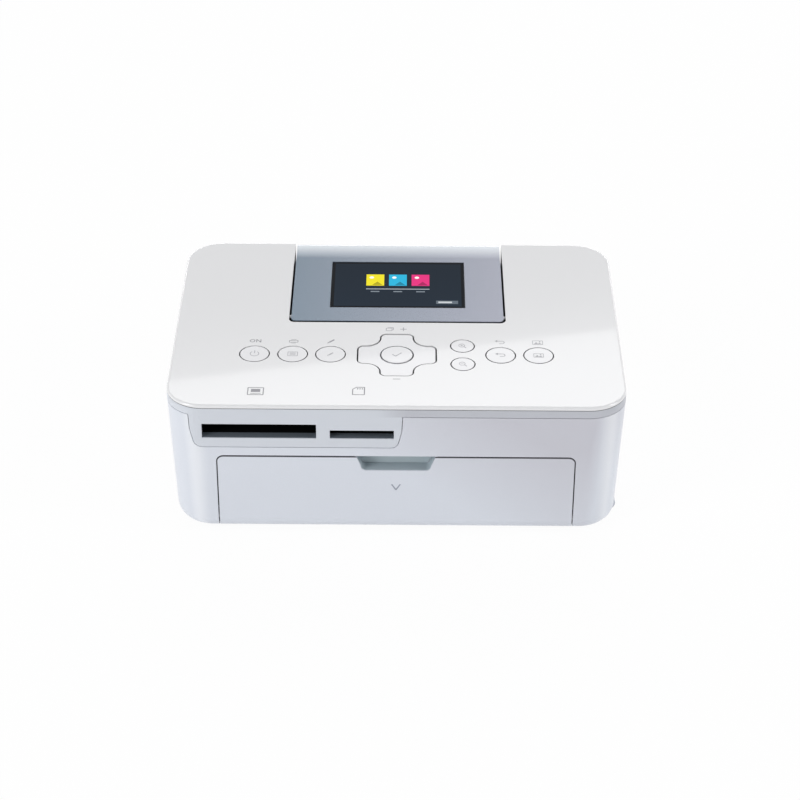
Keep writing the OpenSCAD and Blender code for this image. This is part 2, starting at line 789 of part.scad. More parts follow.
module ink_door() {
    foot = barrel_z + 1.5;
    color(case_white) difference() {
        union() {
            intersection() {
                along_y(-ink_door_half, ink_door_half)
                    polygon([[wall_x(tuck_z), foot], [wall_x(tuck_z), tuck_z],
                             [wall_x(ink_door_top_z + 1), ink_door_top_z + 1],
                             [wall_x(ink_door_top_z + 1) - ink_door_t, ink_door_top_z + 1],
                             [wall_x(tuck_z) - ink_door_t, tuck_z], [barrel_x - 1, foot]]);
                along_x(barrel_x - 9, half_w + 1)
                    ink_door_plan(ink_door_half, ink_door_top_z, foot - 1, 2.2);
            }
            rod_y(-ink_door_half, ink_door_half, barrel_x, barrel_z, barrel_r);
        }
        for (s = [-1, 1]) scale([1, s, 1])
            rod_y(ink_door_half - 6.3, ink_door_half + 1, barrel_x, barrel_z, pin_r + run_fit);
        // finger scoop at the top edge
        rod_y(-8, 8, wall_x(ink_door_top_z) + 1.6, ink_door_top_z - 1, 2.6);
    }
}

module ink_bay_panel() {
    color(inner_grey) union() {
        along_x(ink_panel_x, ink_panel_x + ink_panel_t) difference() {
            translate([-ink_door_half + 1.2, base_top])
                square([2*ink_door_half - 2.4, ink_door_top_z + 1 - base_top]);
            cassette_plan(passage);
            grip_plan(passage);
        }
        // rails that carry the cassette across from the side plate
        block(plate_out, ink_panel_x + 0.1, supply_y - 3, supply_y + 3,
              supply_z - supply_case_r - 1.5, supply_z - supply_case_r - 0.3);
        block(plate_out, ink_panel_x + 0.1, takeup_y - 2, takeup_y + 2,
              takeup_z + takeup_case_r + 0.3, takeup_z + takeup_case_r + 1.3);
        for (y = [-40, -28, -16])
            block(ink_panel_x + ink_panel_t - 0.1, ink_panel_x + ink_panel_t + 1.2, y - 0.6, y + 0.6,
                  base_top + 6, ink_door_top_z - 3);
    }
}

module ink_cassette_case() {
    color(inner_grey) difference() {
        union() {
            both_sides() along_x(cassette_half - cap_t, cassette_half) cassette_plan(0);
            // half-round shells over the two spools
            along_x(-cassette_half + 1, cassette_half - 1) difference() {
                union() {
                    translate([takeup_y, takeup_z]) circle(takeup_case_r);
                    translate([supply_y, supply_z]) circle(supply_case_r);
                }
                translate([takeup_y, takeup_z]) circle(takeup_case_r - cassette_wall);
                translate([supply_y, supply_z]) circle(supply_case_r - cassette_wall);
                translate([takeup_y + 1, takeup_z - 12]) square([12, 13]);
                translate([supply_y - 12, supply_z - 12]) square([12, 12]);
            }
            // bars that turn the film
            for (y = [takeup_y + takeup_bar, supply_y - supply_bar])
                rod_x(-cassette_half + 1, cassette_half - 1, y, bar_z, bar_r);
            // grip
            difference() {
                along_x(cassette_half - 0.1, grip_out) grip_plan(0);
                block(cassette_half + 2, grip_out + 1, grip_y + grip_wall, grip_y + grip_l - grip_wall,
                      grip_z + grip_wall, grip_z + grip_h + 1);
            }
        }
        rod_x(-cassette_half - 1, -cassette_half + cap_t + 1, takeup_y, takeup_z, socket_r + 1.3 + run_fit);
        rod_x(cassette_half - cap_t - 1, cassette_half + 1, takeup_y, takeup_z, journal_r + run_fit);
        both_sides()
            rod_x(cassette_half - cap_t - 1, cassette_half + 1, supply_y, supply_z, journal_r + run_fit);
    }
}

// Film from the supply roll, under the two bars, up to the take-up roll
module ink_ribbon() {
    top_out = [supply_y - supply_roll_r - 0.5, supply_z - 2.5];
    low_out = [supply_y - supply_bar + bar_r + 0.8, film_z];
    low_in = [takeup_y + takeup_bar - bar_r - 0.4, film_z];
    rise_in = [takeup_y + 11.8, takeup_z - 11];
    top_in = [takeup_y + takeup_roll_r + 0.5, takeup_z - 2.5];
    color([0.55, 0.15, 0.30]) along_x(-film_half, film_half)
        polygon([top_out, low_out, low_in, rise_in, top_in, top_in + [film_t, 0], rise_in + [film_t, 0],
                 low_in + [film_t, film_t], low_out + [-film_t, film_t], top_out + [-film_t, 0]]);
}

module supply_spool() {
    color(black) union() {
        rod_x(-cassette_half + 0.3, cassette_half - 0.3, supply_y, supply_z, journal_r);
        rod_x(-cassette_half + cap_t + 0.4, cassette_half - cap_t - 0.4, supply_y, supply_z, spool_core_r);
        rod_x(-film_half, film_half, supply_y, supply_z, supply_roll_r);
    }
}

module takeup_spool() {
    color(black) difference() {
        union() {
            rod_x(0, cassette_half - 0.3, takeup_y, takeup_z, journal_r);
            rod_x(-cassette_half + 0.3, 0, takeup_y, takeup_z, socket_r + 1.3);
            rod_x(0, cassette_half - cap_t - 0.4, takeup_y, takeup_z, spool_core_r);
            rod_x(-film_half, film_half, takeup_y, takeup_z, takeup_roll_r);
        }
        rod_x(-cassette_half - 1, -cassette_half + 5, takeup_y, takeup_z, socket_r);
    }
}

// ---------------------------------------------------------------- screen unit

module lcd_profile(inset) {
    y0 = lcd_y + inset;
    y1 = lcd_y + lcd_d - inset;
    z0 = lcd_z + inset;
    z1 = body_h - inset;
    r = lcd_edge_r - inset;
    difference() {
        union() {
            translate([y0, z0]) square([y1 - y0 - r, z1 - z0]);
            translate([y0, z0]) square([y1 - y0, z1 - z0 - r]);
            translate([y1 - r, z1 - r]) circle(r);
        }
        polygon([[y0 - 1, z0 - 1], [lcd_y + lcd_nose + inset*0.4, z0 - 1], [lcd_y + lcd_nose + inset*0.4, z0],
                 [y0, lcd_axis_z + inset*0.6], [y0 - 1, lcd_axis_z + inset*0.6]]);
    }
}

module window_cut(grow, z0, z1) {
    block(-window_w/2 - grow, window_w/2 + grow, lcd_y + window_setback - grow,
          lcd_y + window_setback + window_d + grow, z0, z1);
}

module lcd_bezel() {
    color(silver) difference() {
        union() {
            difference() {
                along_x(-lcd_half, lcd_half) lcd_profile(0);
                along_x(-lcd_half + lcd_skin, lcd_half - lcd_skin) lcd_profile(lcd_skin);
                block(-lcd_w, lcd_w, lcd_y - 1, half_d + 1, 0, lcd_split_z + face_gap/2);
            }
            both_sides() rod_x(lcd_half - lcd_skin - 1.6, lcd_half - 0.2, lcd_axis_y, lcd_axis_z, 2.1);
        }
        window_cut(0, lcd_z, body_h + 1);
        both_sides() rod_x(lcd_half - lcd_skin - 3, lcd_half + 1, lcd_axis_y, lcd_axis_z, pin_r + run_fit);
    }
}

module lcd_back() {
    color(case_white) union() {
        difference() {
            along_x(-lcd_half, lcd_half) lcd_profile(0);
            along_x(-lcd_half + lcd_skin, lcd_half - lcd_skin) lcd_profile(lcd_skin);
            block(-lcd_w, lcd_w, lcd_y - 1, half_d + 1, lcd_split_z - face_gap/2, body_h + 1);
        }
        // posts under the display
        for (x = [-24, 24], y = [window_setback + 4, window_setback + window_d - 4])
            translate([x, lcd_y + y, lcd_z + lcd_skin - 0.1])
                cylinder(h = body_h - lcd_skin - face_gap - display_t - lcd_z - lcd_skin + 0.1, r = 2);
    }
}

module lcd_glass() {
    color([0.10, 0.14, 0.18]) window_cut(-glass_gap, body_h - lcd_skin, body_h - lcd_skin + glass_t);
}

module lcd_display() {
    color([0.18, 0.24, 0.29])
        window_cut(1.8, body_h - lcd_skin - face_gap - display_t, body_h - lcd_skin - face_gap);
}

module lcd_tray() {
    in_half = lcd_recess_half;
    out_half = in_half + tray_wall;
    front = lcd_y - lcd_gap - tray_wall;
    color(black) difference() {
        union() {
            block(-out_half, out_half, front, rear_in, tray_top - tray_t, tray_top);
            block(-out_half, out_half, front, front + tray_wall - 0.3, tray_top - 0.1, plate_z);
            both_sides() block(in_half, out_half, front, rear_in, tray_top - 0.1, plate_z);
            // flanges that hang from the deck
            both_sides() block(out_half - 0.1, out_half + 3, lcd_y + 3, half_d - 10, deck_z - 1.2, deck_z);
        }
        both_sides() rod_x(in_half - 1, out_half + 1, lcd_axis_y, lcd_axis_z, pin_r + pin_fit);
    }
}

// ---------------------------------------------------------------- keys and cross pad

// Round key with the flange that holds it under the deck
module round_key(x, y, d) {
    color(white) translate([x, y, 0]) {
        translate([0, 0, key_under]) cylinder(h = flange_t, r = d/2 + flange_lip);
        translate([0, 0, key_under]) cylinder(h = body_h - 0.3 - key_under, r = d/2);
        translate([0, 0, body_h - 0.3]) cylinder(h = 0.3, r1 = d/2, r2 = d/2 - 0.3);
    }
}

module named_key(name) {
    for (k = KEYS) if (k[0] == name) round_key(k[1], key_y + k[2], k[3]);
}

module power_button() named_key("power");
module menu_button() named_key("menu");
module edit_button() named_key("edit");
module zoom_in_button() named_key("zoom_in");
module zoom_out_button() named_key("zoom_out");
module back_button() named_key("back");
module print_button() named_key("print");

module ok_button() {
    color(white) translate([0, pad_y, 0]) {
        translate([0, 0, key_under]) cylinder(h = body_h - 0.3 - key_under, r = ok_key_d/2);
        translate([0, 0, body_h - 0.3]) cylinder(h = 0.3, r1 = ok_key_d/2, r2 = ok_key_d/2 - 0.3);
        translate([0, 0, key_under]) cylinder(h = 0.6, r = ok_key_d/2 + 0.6);
    }
}

module dpad() {
    color(white) translate([0, pad_y, 0]) difference() {
        union() {
            translate([0, 0, pad_under]) linear_extrude(pad_top - pad_under) cross_plan(0);
            // nubs over the four domes
            for (a = [0:90:270]) rotate(a) translate([pad_nub_reach, 0, key_under - 0.1])
                cylinder(h = pad_under - key_under + 0.2, r = 1.2);
            // bearings on the pivot ring
            for (s = [-1, 1]) translate([0, s*(pivot_in_r + pivot_out_r)/2, pivot_z + pivot_t + 0.2])
                cylinder(h = pad_under - pivot_z - pivot_t + 0.2, r = 0.7);
        }
        translate([0, 0, pad_under - 1]) cylinder(h = 6, r = ok_hole_r);
        translate([0, 0, pad_under - 0.01]) cylinder(h = pad_hub_under - pad_under, r = ok_key_d/2 + 0.9);
    }
}

module dpad_pivot() {
    color(acetal) translate([0, pad_y, pivot_z]) difference() {
        cylinder(h = pivot_t, r = pivot_out_r);
        translate([0, 0, -1]) cylinder(h = 4, r = pivot_in_r);
    }
}

// ---------------------------------------------------------------- boards and sockets

module button_board() {
    color(board_green) union() {
        block(-66, 66, key_y - 16, key_y + 16, button_board_z, button_board_z + board_t);
        // stands for the pivot ring
        for (s = [-1, 1]) translate([s*(pivot_in_r + pivot_out_r)/2, pad_y, button_board_z + board_t - 0.1])
            cylinder(h = pivot_z - button_board_z - board_t - 0.1, r = 0.7);
    }
}

module dome_switch(x, y) {
    top = dome_top - button_board_z - board_t;
    translate([x, y, button_board_z + board_t]) {
        translate([-2, -2, 0]) cube([4, 4, top - 0.4]);
        cylinder(h = top, r = 1);
    }
}

module dome_switches() {
    color(steel) union() {
        for (k = KEYS) dome_switch(k[1], key_y + k[2]);
        dome_switch(0, pad_y);
        for (a = [0:90:270])
            dome_switch(pad_nub_reach*cos(a), pad_y + pad_nub_reach*sin(a));
    }
}

module main_board() {
    color(board_green) difference() {
        block(-main_board_half, main_board_half, front_y + 6, bay_rear + 5,
              main_board_z, main_board_z + main_board_t);
        for (s = [-1, 1]) translate([s*(main_board_half + 9), front_y - 2, main_board_z - 1]) rotate(45*s)
            cube([24, 24, 8], center = true);
    }
}

// Chips spread over the board beside the sockets, as [share of the free width, distance behind the
// front face, side, height], and two round capacitors
CHIPS = [[0.18, 13.5, 16, 1.8], [0.47, 13.5, 10, 1.4], [0.7, 15.5, 8, 2.2], [0.49, 33.5, 14, 1.6],
         [0.21, 37.5, 7, 1.2], [0.78, 35.5, 9, 1.4]];

module main_chips() {
    z = main_board_z + main_board_t;
    left = small_slot_x + small_slot_w/2 + socket_wall + 0.2;
    color(black) union() {
        for (c = CHIPS)
            translate([left + c[0]*(main_board_half - left) - c[2]/2, front_y + c[1] - c[2]/2, z])
                cube([c[2], c[2], c[3]]);
        for (x = [main_board_half - 11, main_board_half - 5])
            translate([x, front_y + 23.5, z]) cylinder(h = 6.4, r = 2.4);
    }
}

// Card socket open to the front, with two rows of contact pins at its rear wall
module card_socket(x, w, h, length, pins) {
    z0 = main_board_z + main_board_t;
    out_half = w/2 + socket_wall + 0.2;
    rear = socket_front + length;
    difference() {
        block(x - out_half, x + out_half, socket_front, rear, z0, slot_z + h + socket_wall);
        block(x - w/2 - 0.2, x + w/2 + 0.2, socket_front - 1, rear - 1.2, slot_z, slot_z + h);
    }
    for (i = [0:pins - 1])
        translate([x - (pins - 1)*0.635 + i*1.27, rear - 4, slot_z + h*0.45]) cube([0.5, 3, 0.5]);
}

module large_card_socket() {
    color(inner_grey) card_socket(large_slot_x, large_slot_w, large_slot_h, large_socket_l, 25);
}

module small_card_socket() {
    color(inner_grey) card_socket(small_slot_x, small_slot_w, small_slot_h, small_socket_l, 9);
}

module interface_board() {
    color(board_green) union() {
        block(interface_x, jack_x - 2.2, interface_front, interface_rear, interface_z, interface_z + board_t);
        block(jack_x - 4.1, jack_x + 4, interface_rear - 5, half_d - 3, interface_z, interface_z + board_t);
    }
}

// Data port open to the left
module data_port(y, w, h, tongue) {
    z0 = interface_z + board_t;
    color(steel) difference() {
        block(-half_w + 2.4, port_in_x, y - w/2, y + w/2, z0, z0 + h);
        block(-half_w, port_in_x - 1, y - w/2 + 0.5, y + w/2 - 0.5, z0 + 0.5, z0 + h - 0.5);
    }
    color(black)
        block(-half_w + 4, port_in_x - 0.5, y - w/2 + 1.2, y + w/2 - 1.2, z0 + 0.4, z0 + 0.4 + tongue);
}

module wide_data_port() data_port(port_y, 13.2, 5.9, 0.3);
module narrow_data_port() data_port(port2_y, 8.2, 4.2, 0.6);

module power_jack() {
    rear = half_d - 0.9;
    color(black) difference() {
        union() {
            block(jack_x - 4, jack_x + 4, half_d - 13.5, rear_in,
                  interface_z + board_t, interface_z + 11);
            rod_y(half_d - wall - 0.4, rear, jack_x, jack_z, 3.8);
        }
        rod_y(half_d - 10.5, rear + 1, jack_x, jack_z, 2.8);
    }
    color(steel) rod_y(half_d - 11.5, rear - 1, jack_x, jack_z, 0.8);
}

// ---------------------------------------------------------------- mechanism

module chassis_left() {
    color(steel) union() {
        along_x(-plate_out, -plate_x) difference() {
            polygon([[motor_y - 12, base_top], [motor_y - 12, pickup_z + 12], [pickup_y - 9, pickup_z + 12],
                     [bay_rear + 6.4, plate_top - 8], [bay_rear + 6.4, plate_top], [plate_rear, plate_top],
                     [plate_rear, base_top]]);
            shaft_bores(run_fit);
            translate([takeup_y, takeup_z]) circle(hub_shaft_r + run_fit);
            translate([head_axis_y, head_axis_z]) circle(head_shaft_r + pin_fit);
            translate([motor_y, pickup_z]) circle(4.4);
        }
        block(-plate_out - 7, -plate_x, motor_y - 6, plate_rear - 6, base_top, base_top + plate_sheet);
    }
}

module chassis_right() {
    color(steel) union() {
        along_x(plate_x, plate_out) difference() {
            polygon([[pickup_y - 9, base_top], [pickup_y - 9, plate_top - 13],
                     [bay_rear + 6.4, plate_top - 8], [bay_rear + 6.4, plate_top],
                     [plate_rear, plate_top], [plate_rear, base_top]]);
            shaft_bores(run_fit);
            cassette_plan(passage);
            grip_plan(passage);
            translate([head_axis_y, head_axis_z]) circle(head_shaft_r + pin_fit);
        }
        block(plate_x, plate_out + 7, pickup_y - 6, plate_rear - 6, base_top, base_top + plate_sheet);
    }
}

module paper_guide() {
    front = feed_y + feed_r + 1;
    gap_front = platen_y - platen_r - 0.6;
    gap_rear = platen_y + platen_r + 0.6;
    color(inner_grey) union() {
        block(-plate_x, plate_x, front, gap_front, guide_under, guide_top);
        block(-plate_x, plate_x, gap_rear, rear_in, guide_under, guide_top);
        both_sides() block(plate_x - 4.3, plate_x, front, rear_in, guide_under - 1, guide_top);
        for (x = [-40:16:40])
            block(x - 0.6, x + 0.6, gap_rear, rear_in, guide_under - 3.2, guide_under + 0.1);
    }
}

module platen_roller() {
    color(rubber) union() {
        rod_x(-roller_half, roller_half, platen_y, platen_z, platen_r);
        rod_x(-shaft_end, shaft_end, platen_y, platen_z, platen_shaft_r);
    }
}

module feed_roller() {
    color(steel) union() {
        rod_x(-feed_half, feed_half, feed_y, feed_z, feed_r);
        rod_x(gearbox_x, shaft_end, feed_y, feed_z, feed_shaft_r);
    }
}

module pinch_roller() {
    color(steel) union() {
        rod_x(-feed_half, feed_half, feed_y, pinch_z, feed_r);
        rod_x(-shaft_end, shaft_end, feed_y, pinch_z, pinch_shaft_r);
    }
}

module pickup_roller() {
    color(rubber) union() {
        rod_x(gearbox_x, shaft_end, pickup_y, pickup_z, pickup_shaft_r);
        for (s = [-1, 1])
            rod_x(s*pickup_tyre_x - pickup_tyre_w/2, s*pickup_tyre_x + pickup_tyre_w/2,
                  pickup_y, pickup_z, pickup_r);
    }
}

// Direction from the pick-up gear to the feed gear, and how far the pinion's mesh is off a tooth
feed_angle = atan2(feed_z - pickup_z, feed_y - pickup_y);
pickup_step = 360/pickup_teeth;
mesh_shift = 180 - feed_angle - pickup_step*floor((180 - feed_angle)/pickup_step);

module toothed_wheel(y, z, teeth, turn, bore) {
    along_x(gear_x, gear_x + gear_t) translate([y, z]) rotate(turn) difference() {
        gear_plan(teeth);
        circle(bore);
    }
}

module feed_gear() {
    color(acetal) toothed_wheel(feed_y, feed_z, feed_teeth, feed_angle + 180 + 180/feed_teeth, feed_shaft_r);
}

module pickup_gear() {
    color(acetal) toothed_wheel(pickup_y, pickup_z, pickup_teeth, feed_angle, pickup_shaft_r);
}

module motor_pinion() {
    color(brass) union() {
        toothed_wheel(motor_y, pickup_z, pinion_teeth,
                      mesh_shift*pickup_teeth/pinion_teeth + 180/pinion_teeth, 0.9);
        rod_x(gearbox_x - 0.4, gear_x + gear_t + 0.4, motor_y, pickup_z, 1);
    }
}

module feed_motor() {
    color(steel) difference() {
        rod_x(feed_motor_end, gearbox_x, motor_y, pickup_z, 10);
        rod_x(gearbox_x - 0.6, gearbox_x + 1, motor_y, pickup_z, 1 + run_fit);
    }
}

module ribbon_motor() {
    color(steel) difference() {
        rod_x(ribbon_motor_end, gearbox_x, takeup_y, takeup_z, 8);
        rod_x(gearbox_x - 0.6, gearbox_x + 1, takeup_y, takeup_z, hub_shaft_r + run_fit);
    }
}

module ribbon_hub() {
    color(acetal) union() {
        rod_x(gearbox_x - 0.4, -plate_x + 0.6, takeup_y, takeup_z, hub_shaft_r);
        rod_x(-plate_x + 0.5, -cassette_half + 4, takeup_y, takeup_z, hub_r);
    }
}

// Plate that carries both motors and the outer ends of the gear shafts
module gearbox_plate() {
    posts = [[motor_y - 9.5, pickup_z + 7], [motor_y - 9.5, pickup_z - 11], [feed_y + 8.5, feed_z + 6.5],
             [takeup_y + 8.5, takeup_z + 6], [takeup_y - 9, takeup_z + 6.5]];
    color(steel) union() {
        along_x(gearbox_x, gearbox_x + plate_sheet) difference() {
            polygon([[motor_y - 12, pickup_z - 13], [feed_y + 11, feed_z - 9], [feed_y + 11, feed_z + 9],
                     [takeup_y + 11, takeup_z + 9], [takeup_y - 11.5, takeup_z + 9],
                     [takeup_y - 11.5, takeup_z + 3], [motor_y - 12, pickup_z + 11]]);
            translate([motor_y, pickup_z]) circle(1.4);
            translate([feed_y, feed_z]) circle(feed_shaft_r + run_fit);
            translate([pickup_y, pickup_z]) circle(pickup_shaft_r + run_fit);
            translate([takeup_y, takeup_z]) circle(hub_shaft_r + 0.4);
        }
        for (p = posts) rod_x(gearbox_x + plate_sheet - 0.1, -plate_out, p[0], p[1], 1.6);
    }
}

module head_shaft() {
    color(steel) rod_x(-shaft_end, shaft_end, head_axis_y, head_axis_z, head_shaft_r);
}

// Swings the children up from the printing position to rest
module lifted() {
    translate([0, head_axis_y, head_axis_z]) rotate([-head_lift, 0, 0])
        translate([0, -head_axis_y, -head_axis_z]) children();
}

module head_arm() {
    color(steel) lifted() difference() {
        union() {
            block(-paper_w/2, paper_w/2, platen_y - 5, head_axis_y - 1, arm_z, arm_z + arm_t);
            for (x = [-paper_w/2, -8, paper_w/2 - 6])
                along_x(x, x + 6) {
                    translate([head_axis_y, head_axis_z]) circle(head_knuckle_r);
                    translate([head_axis_y - 6, arm_z]) square([6, head_axis_z - arm_z]);
                }
        }
        rod_x(-plate_x, plate_x, head_axis_y, head_axis_z, head_shaft_r + run_fit);
    }
}

module head_heatsink() {
    color([0.72, 0.73, 0.75]) lifted() difference() {
        block(-paper_w/2, paper_w/2, platen_y - head_w/2 + 0.5, platen_y + head_w/2 - 0.5,
              head_under + head_bar_t, arm_z);
        for (x = [-paper_w/2 + 5:fin_pitch:paper_w/2 - 5], s = [-1, 1])
            translate([x, platen_y + s*head_w/2, 0])
                block(-fin_gap/2, fin_gap/2, 1 - head_w/2, head_w/2 - 1,
                      head_under + head_bar_t + 3, arm_z - 2);
    }
}

module thermal_head() {
    color([0.55, 0.40, 0.30]) lifted()
        block(-film_half, film_half, platen_y - head_w/2, platen_y + head_w/2,
              head_under, head_under + head_bar_t);
}

module fan_frame() {
    duct_r = fan_w/2 - 1;
    color(black) union() {
        along_y(fan_y, fan_y + fan_t) translate([fan_x, fan_z]) difference() {
            square(fan_w, center = true);
            circle(duct_r);
        }
        for (a = [45, 165, 285]) translate([fan_x, 0, fan_z]) rotate([0, a, 0])
            block(2, duct_r + 0.4, fan_y, fan_y + 1.2, -0.7, 0.7);
        rod_y(fan_y, fan_y + 1, fan_x, fan_z, 3.6);
        rod_y(fan_y + 0.9, fan_y + 5, fan_x, fan_z, 0.9);
    }
}

module fan_rotor() {
    tip_r = fan_w/2 - 1.6;
    color([0.20, 0.20, 0.22]) difference() {
        union() {
            rod_y(fan_y + 1.3, fan_y + 6, fan_x, fan_z, 4);
            for (i = [0:6]) translate([fan_x, fan_y + 3.6, fan_z]) rotate([0, i*360/7, 0])
                rotate([40, 0, 0]) block(3.5, tip_r - 0.6, -0.4, 0.4, -2.4, 2.4);
        }
        rod_y(fan_y, fan_y + 5.2, fan_x, fan_z, 0.9 + run_fit);
    }
}

top_plate();
upper_frame();
lower_housing();
base_plate();
rubber_feet();
case_screws();
hinge_pins();
front_door();
paper_bay();
ink_door();
ink_bay_panel();
lcd_tray();
lcd_bezel();
lcd_glass();
lcd_display();
lcd_back();
power_button();
menu_button();
edit_button();
zoom_in_button();
zoom_out_button();
back_button();
print_button();
ok_button();
dpad();
dpad_pivot();
button_board();
dome_switches();
main_board();
main_chips();
large_card_socket();
small_card_socket();
interface_board();
wide_data_port();
narrow_data_port();
power_jack();
chassis_left();
chassis_right();
paper_guide();
platen_roller();
feed_roller();
feed_gear();
pinch_roller();
pickup_roller();
pickup_gear();
feed_motor();
motor_pinion();
gearbox_plate();
head_shaft();
head_arm();
head_heatsink();
thermal_head();
ink_cassette_case();
ink_ribbon();
supply_spool();
takeup_spool();
ribbon_motor();
ribbon_hub();
fan_frame();
fan_rotor();
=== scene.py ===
"""Compact photo printer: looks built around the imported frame. Metres, Z up, front towards -Y."""

import math

import bmesh
import bpy
from mathutils import Matrix, Vector


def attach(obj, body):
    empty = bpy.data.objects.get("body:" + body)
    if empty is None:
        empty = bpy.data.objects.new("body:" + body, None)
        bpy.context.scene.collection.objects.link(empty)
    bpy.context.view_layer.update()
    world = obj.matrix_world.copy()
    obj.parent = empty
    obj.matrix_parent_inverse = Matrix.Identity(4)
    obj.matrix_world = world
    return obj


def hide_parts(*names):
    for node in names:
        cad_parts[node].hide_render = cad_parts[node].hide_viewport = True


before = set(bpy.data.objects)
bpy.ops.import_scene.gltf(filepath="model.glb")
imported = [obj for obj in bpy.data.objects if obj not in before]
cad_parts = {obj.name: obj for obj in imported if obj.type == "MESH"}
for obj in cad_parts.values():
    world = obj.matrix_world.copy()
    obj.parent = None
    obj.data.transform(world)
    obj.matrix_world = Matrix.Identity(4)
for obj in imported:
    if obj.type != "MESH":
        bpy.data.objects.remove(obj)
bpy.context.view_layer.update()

MM = 0.001
HOUSING = "housing"

# The CAD part's own sizes that the looks follow, in millimetres
HALF_WIDTH = 89
FRONT_Y = -63.5
CORNER_ROUND = 15
PLATE_TOP = 60.5
BAND_FOOT = 55.6
DOOR_HALF = 69.4
DOOR_TOP = 37.2
DOOR_ROUND = 2.5
NOTCH_HALF = 15.35
NOTCH_FOOT = 30.8
NOTCH_BACK_Y = -57.9
LCD_HALF = 43
LCD_FRONT_Y = -0.4
RECESS_HALF = 43.85
RECESS_FRONT_Y = -1.55
KEY_ROW_Y = -25.9
KEY_X = {"power": -56.3, "menu": -41.2, "edit": -26.25, "zoom_in": 26, "zoom_out": 26, "back": 41,
         "print": 56, "ok": 0}
ZOOM_STEP = 6.75

# Middle and width of each card slot, and the height of the slots' floor
LARGE_SLOT = (-52.8, 44.1)
SMALL_SLOT = (-13.2, 24.7)
SLOT_FLOOR = 45.62

# Places in one corner of the floor, repeated in the other three
SCREW_PLACE = (74.5, 52.0)
FOOT_PLACE = (68.0, 46.0)

# Angle between faces, in degrees, from which an edge stays sharp
SHARP_ANGLE = 31


# ---------------------------------------------------------------- shaders

class Signal:
    """A shader socket that takes part in Python arithmetic."""

    def __init__(self, shader, socket):
        self.shader = shader
        self.socket = socket

    def _math(self, operation, first, second=0.0, third=0.0):
        return self.shader.node("ShaderNodeMath", {"operation": operation}, first, second, third).out(0)

    def __add__(self, other):
        return self._math("ADD", self, other)

    def __radd__(self, other):
        return self._math("ADD", other, self)

    def __sub__(self, other):
        return self._math("SUBTRACT", self, other)

    def __rsub__(self, other):
        return self._math("SUBTRACT", other, self)

    def __mul__(self, other):
        return self._math("MULTIPLY", self, other)

    def __rmul__(self, other):
        return self._math("MULTIPLY", other, self)

    def __truediv__(self, other):
        return self._math("DIVIDE", self, other)

    def __abs__(self):
        return self._math("ABSOLUTE", self)

    def above(self, limit, soft):
        """0 below limit, 1 above it, over a soft step."""
        step = self.shader.node("ShaderNodeMapRange", {"interpolation_type": "SMOOTHSTEP"})
        step.put("Value", self).put("From Min", limit - soft).put("From Max", limit + soft)
        return step.out(0)

    def below(self, limit, soft):
        return 1.0 - self.above(limit, soft)

    def least(self, other):
        return self._math("MINIMUM", self, other)

    def most(self, other):
        return self._math("MAXIMUM", self, other)

    def wrap(self, size):
        return self._math("WRAP", self, size, 0.0)


class Built:
    """A shader node just made."""

    def __init__(self, shader, node):
        self.shader = shader
        self.node = node

    def put(self, socket, value):
        self.shader.fill(self.node.inputs[socket], value)
        return self

    def out(self, socket):
        return Signal(self.shader, self.node.outputs[socket])


class Shader:
    """One procedural material on a Principled surface."""

    def __init__(self, name):
        self.material = bpy.data.materials.new(name)
        self.material.use_nodes = True
        self.tree = self.material.node_tree
        self.surface = self.tree.nodes["Principled BSDF"]
        self.place = self.node("ShaderNodeTexCoord", {}).out("Object")

    def fill(self, socket, value):
        if isinstance(value, Signal):
            self.tree.links.new(value.socket, socket)
        else:
            socket.default_value = value

    def node(self, kind, settings, *values, **named):
        made = self.tree.nodes.new(kind)
        for key, value in settings.items():
            if key == "stops":
                ramp = made.color_ramp
                for spot, (position, colour) in enumerate(value):
                    stop = ramp.elements[spot] if spot < 2 else ramp.elements.new(position)
                    stop.position = position
                    stop.color = colour
            else:
                setattr(made, key, value)
        for index, value in enumerate(values):
            self.fill(made.inputs[index], value)
        for key, value in named.items():
            self.fill(made.inputs[key.replace("_", " ")], value)
        return Built(self, made)

    def axis(self, letter):
        return self.node("ShaderNodeSeparateXYZ", {}, self.place).out(letter)

    def stretched(self, x, y, z):
        """Object coordinates scaled along each axis."""
        return self.node("ShaderNodeVectorMath", {"operation": "MULTIPLY"}, self.place, (x, y, z)).out(0)

    def noise(self, scale, detail=2.0, place=None, rough=0.5):
        return self.node("ShaderNodeTexNoise", {}, Vector=place or self.place, Scale=scale,
                         Detail=detail, Roughness=rough).out(0)

    def cells(self, scale):
        return self.node("ShaderNodeTexVoronoi", {}, Vector=self.place, Scale=scale).out(0)

    def mix(self, share, first, second):
        made = self.node("ShaderNodeMix", {"data_type": "RGBA"})
        for index, value in ((0, share), (6, first), (7, second)):
            self.fill(made.node.inputs[index], value)
        return made.out(2)

    def finish(self, colour, rough, metallic=0.0, relief=None, height=0.0, **fixed):
        """Links what varies and sets what is the same all over on the surface's own sockets."""
        self.fill(self.surface.inputs["Base Color"], colour)
        self.fill(self.surface.inputs["Roughness"], rough)
        self.fill(self.surface.inputs["Metallic"], metallic)
        if relief is not None:
            bump = self.node("ShaderNodeBump", {}, Height=relief, Distance=height, Strength=1.0)
            self.fill(self.surface.inputs["Normal"], bump.out(0))
        for key, value in fixed.items():
            self.surface.inputs[key.replace("_", " ")].default_value = value
        return self.material


def srgb(red, green, blue):
    """A colour given as 0-255 screen values, as linear RGBA."""
    def linear(part):
        part /= 255
        return part / 12.92 if part <= 0.04045 else ((part + 0.055) / 1.055) ** 2.4
    return (linear(red), linear(green), linear(blue), 1.0)


def shade(colour, factor):
    return (colour[0] * factor, colour[1] * factor, colour[2] * factor, 1.0)


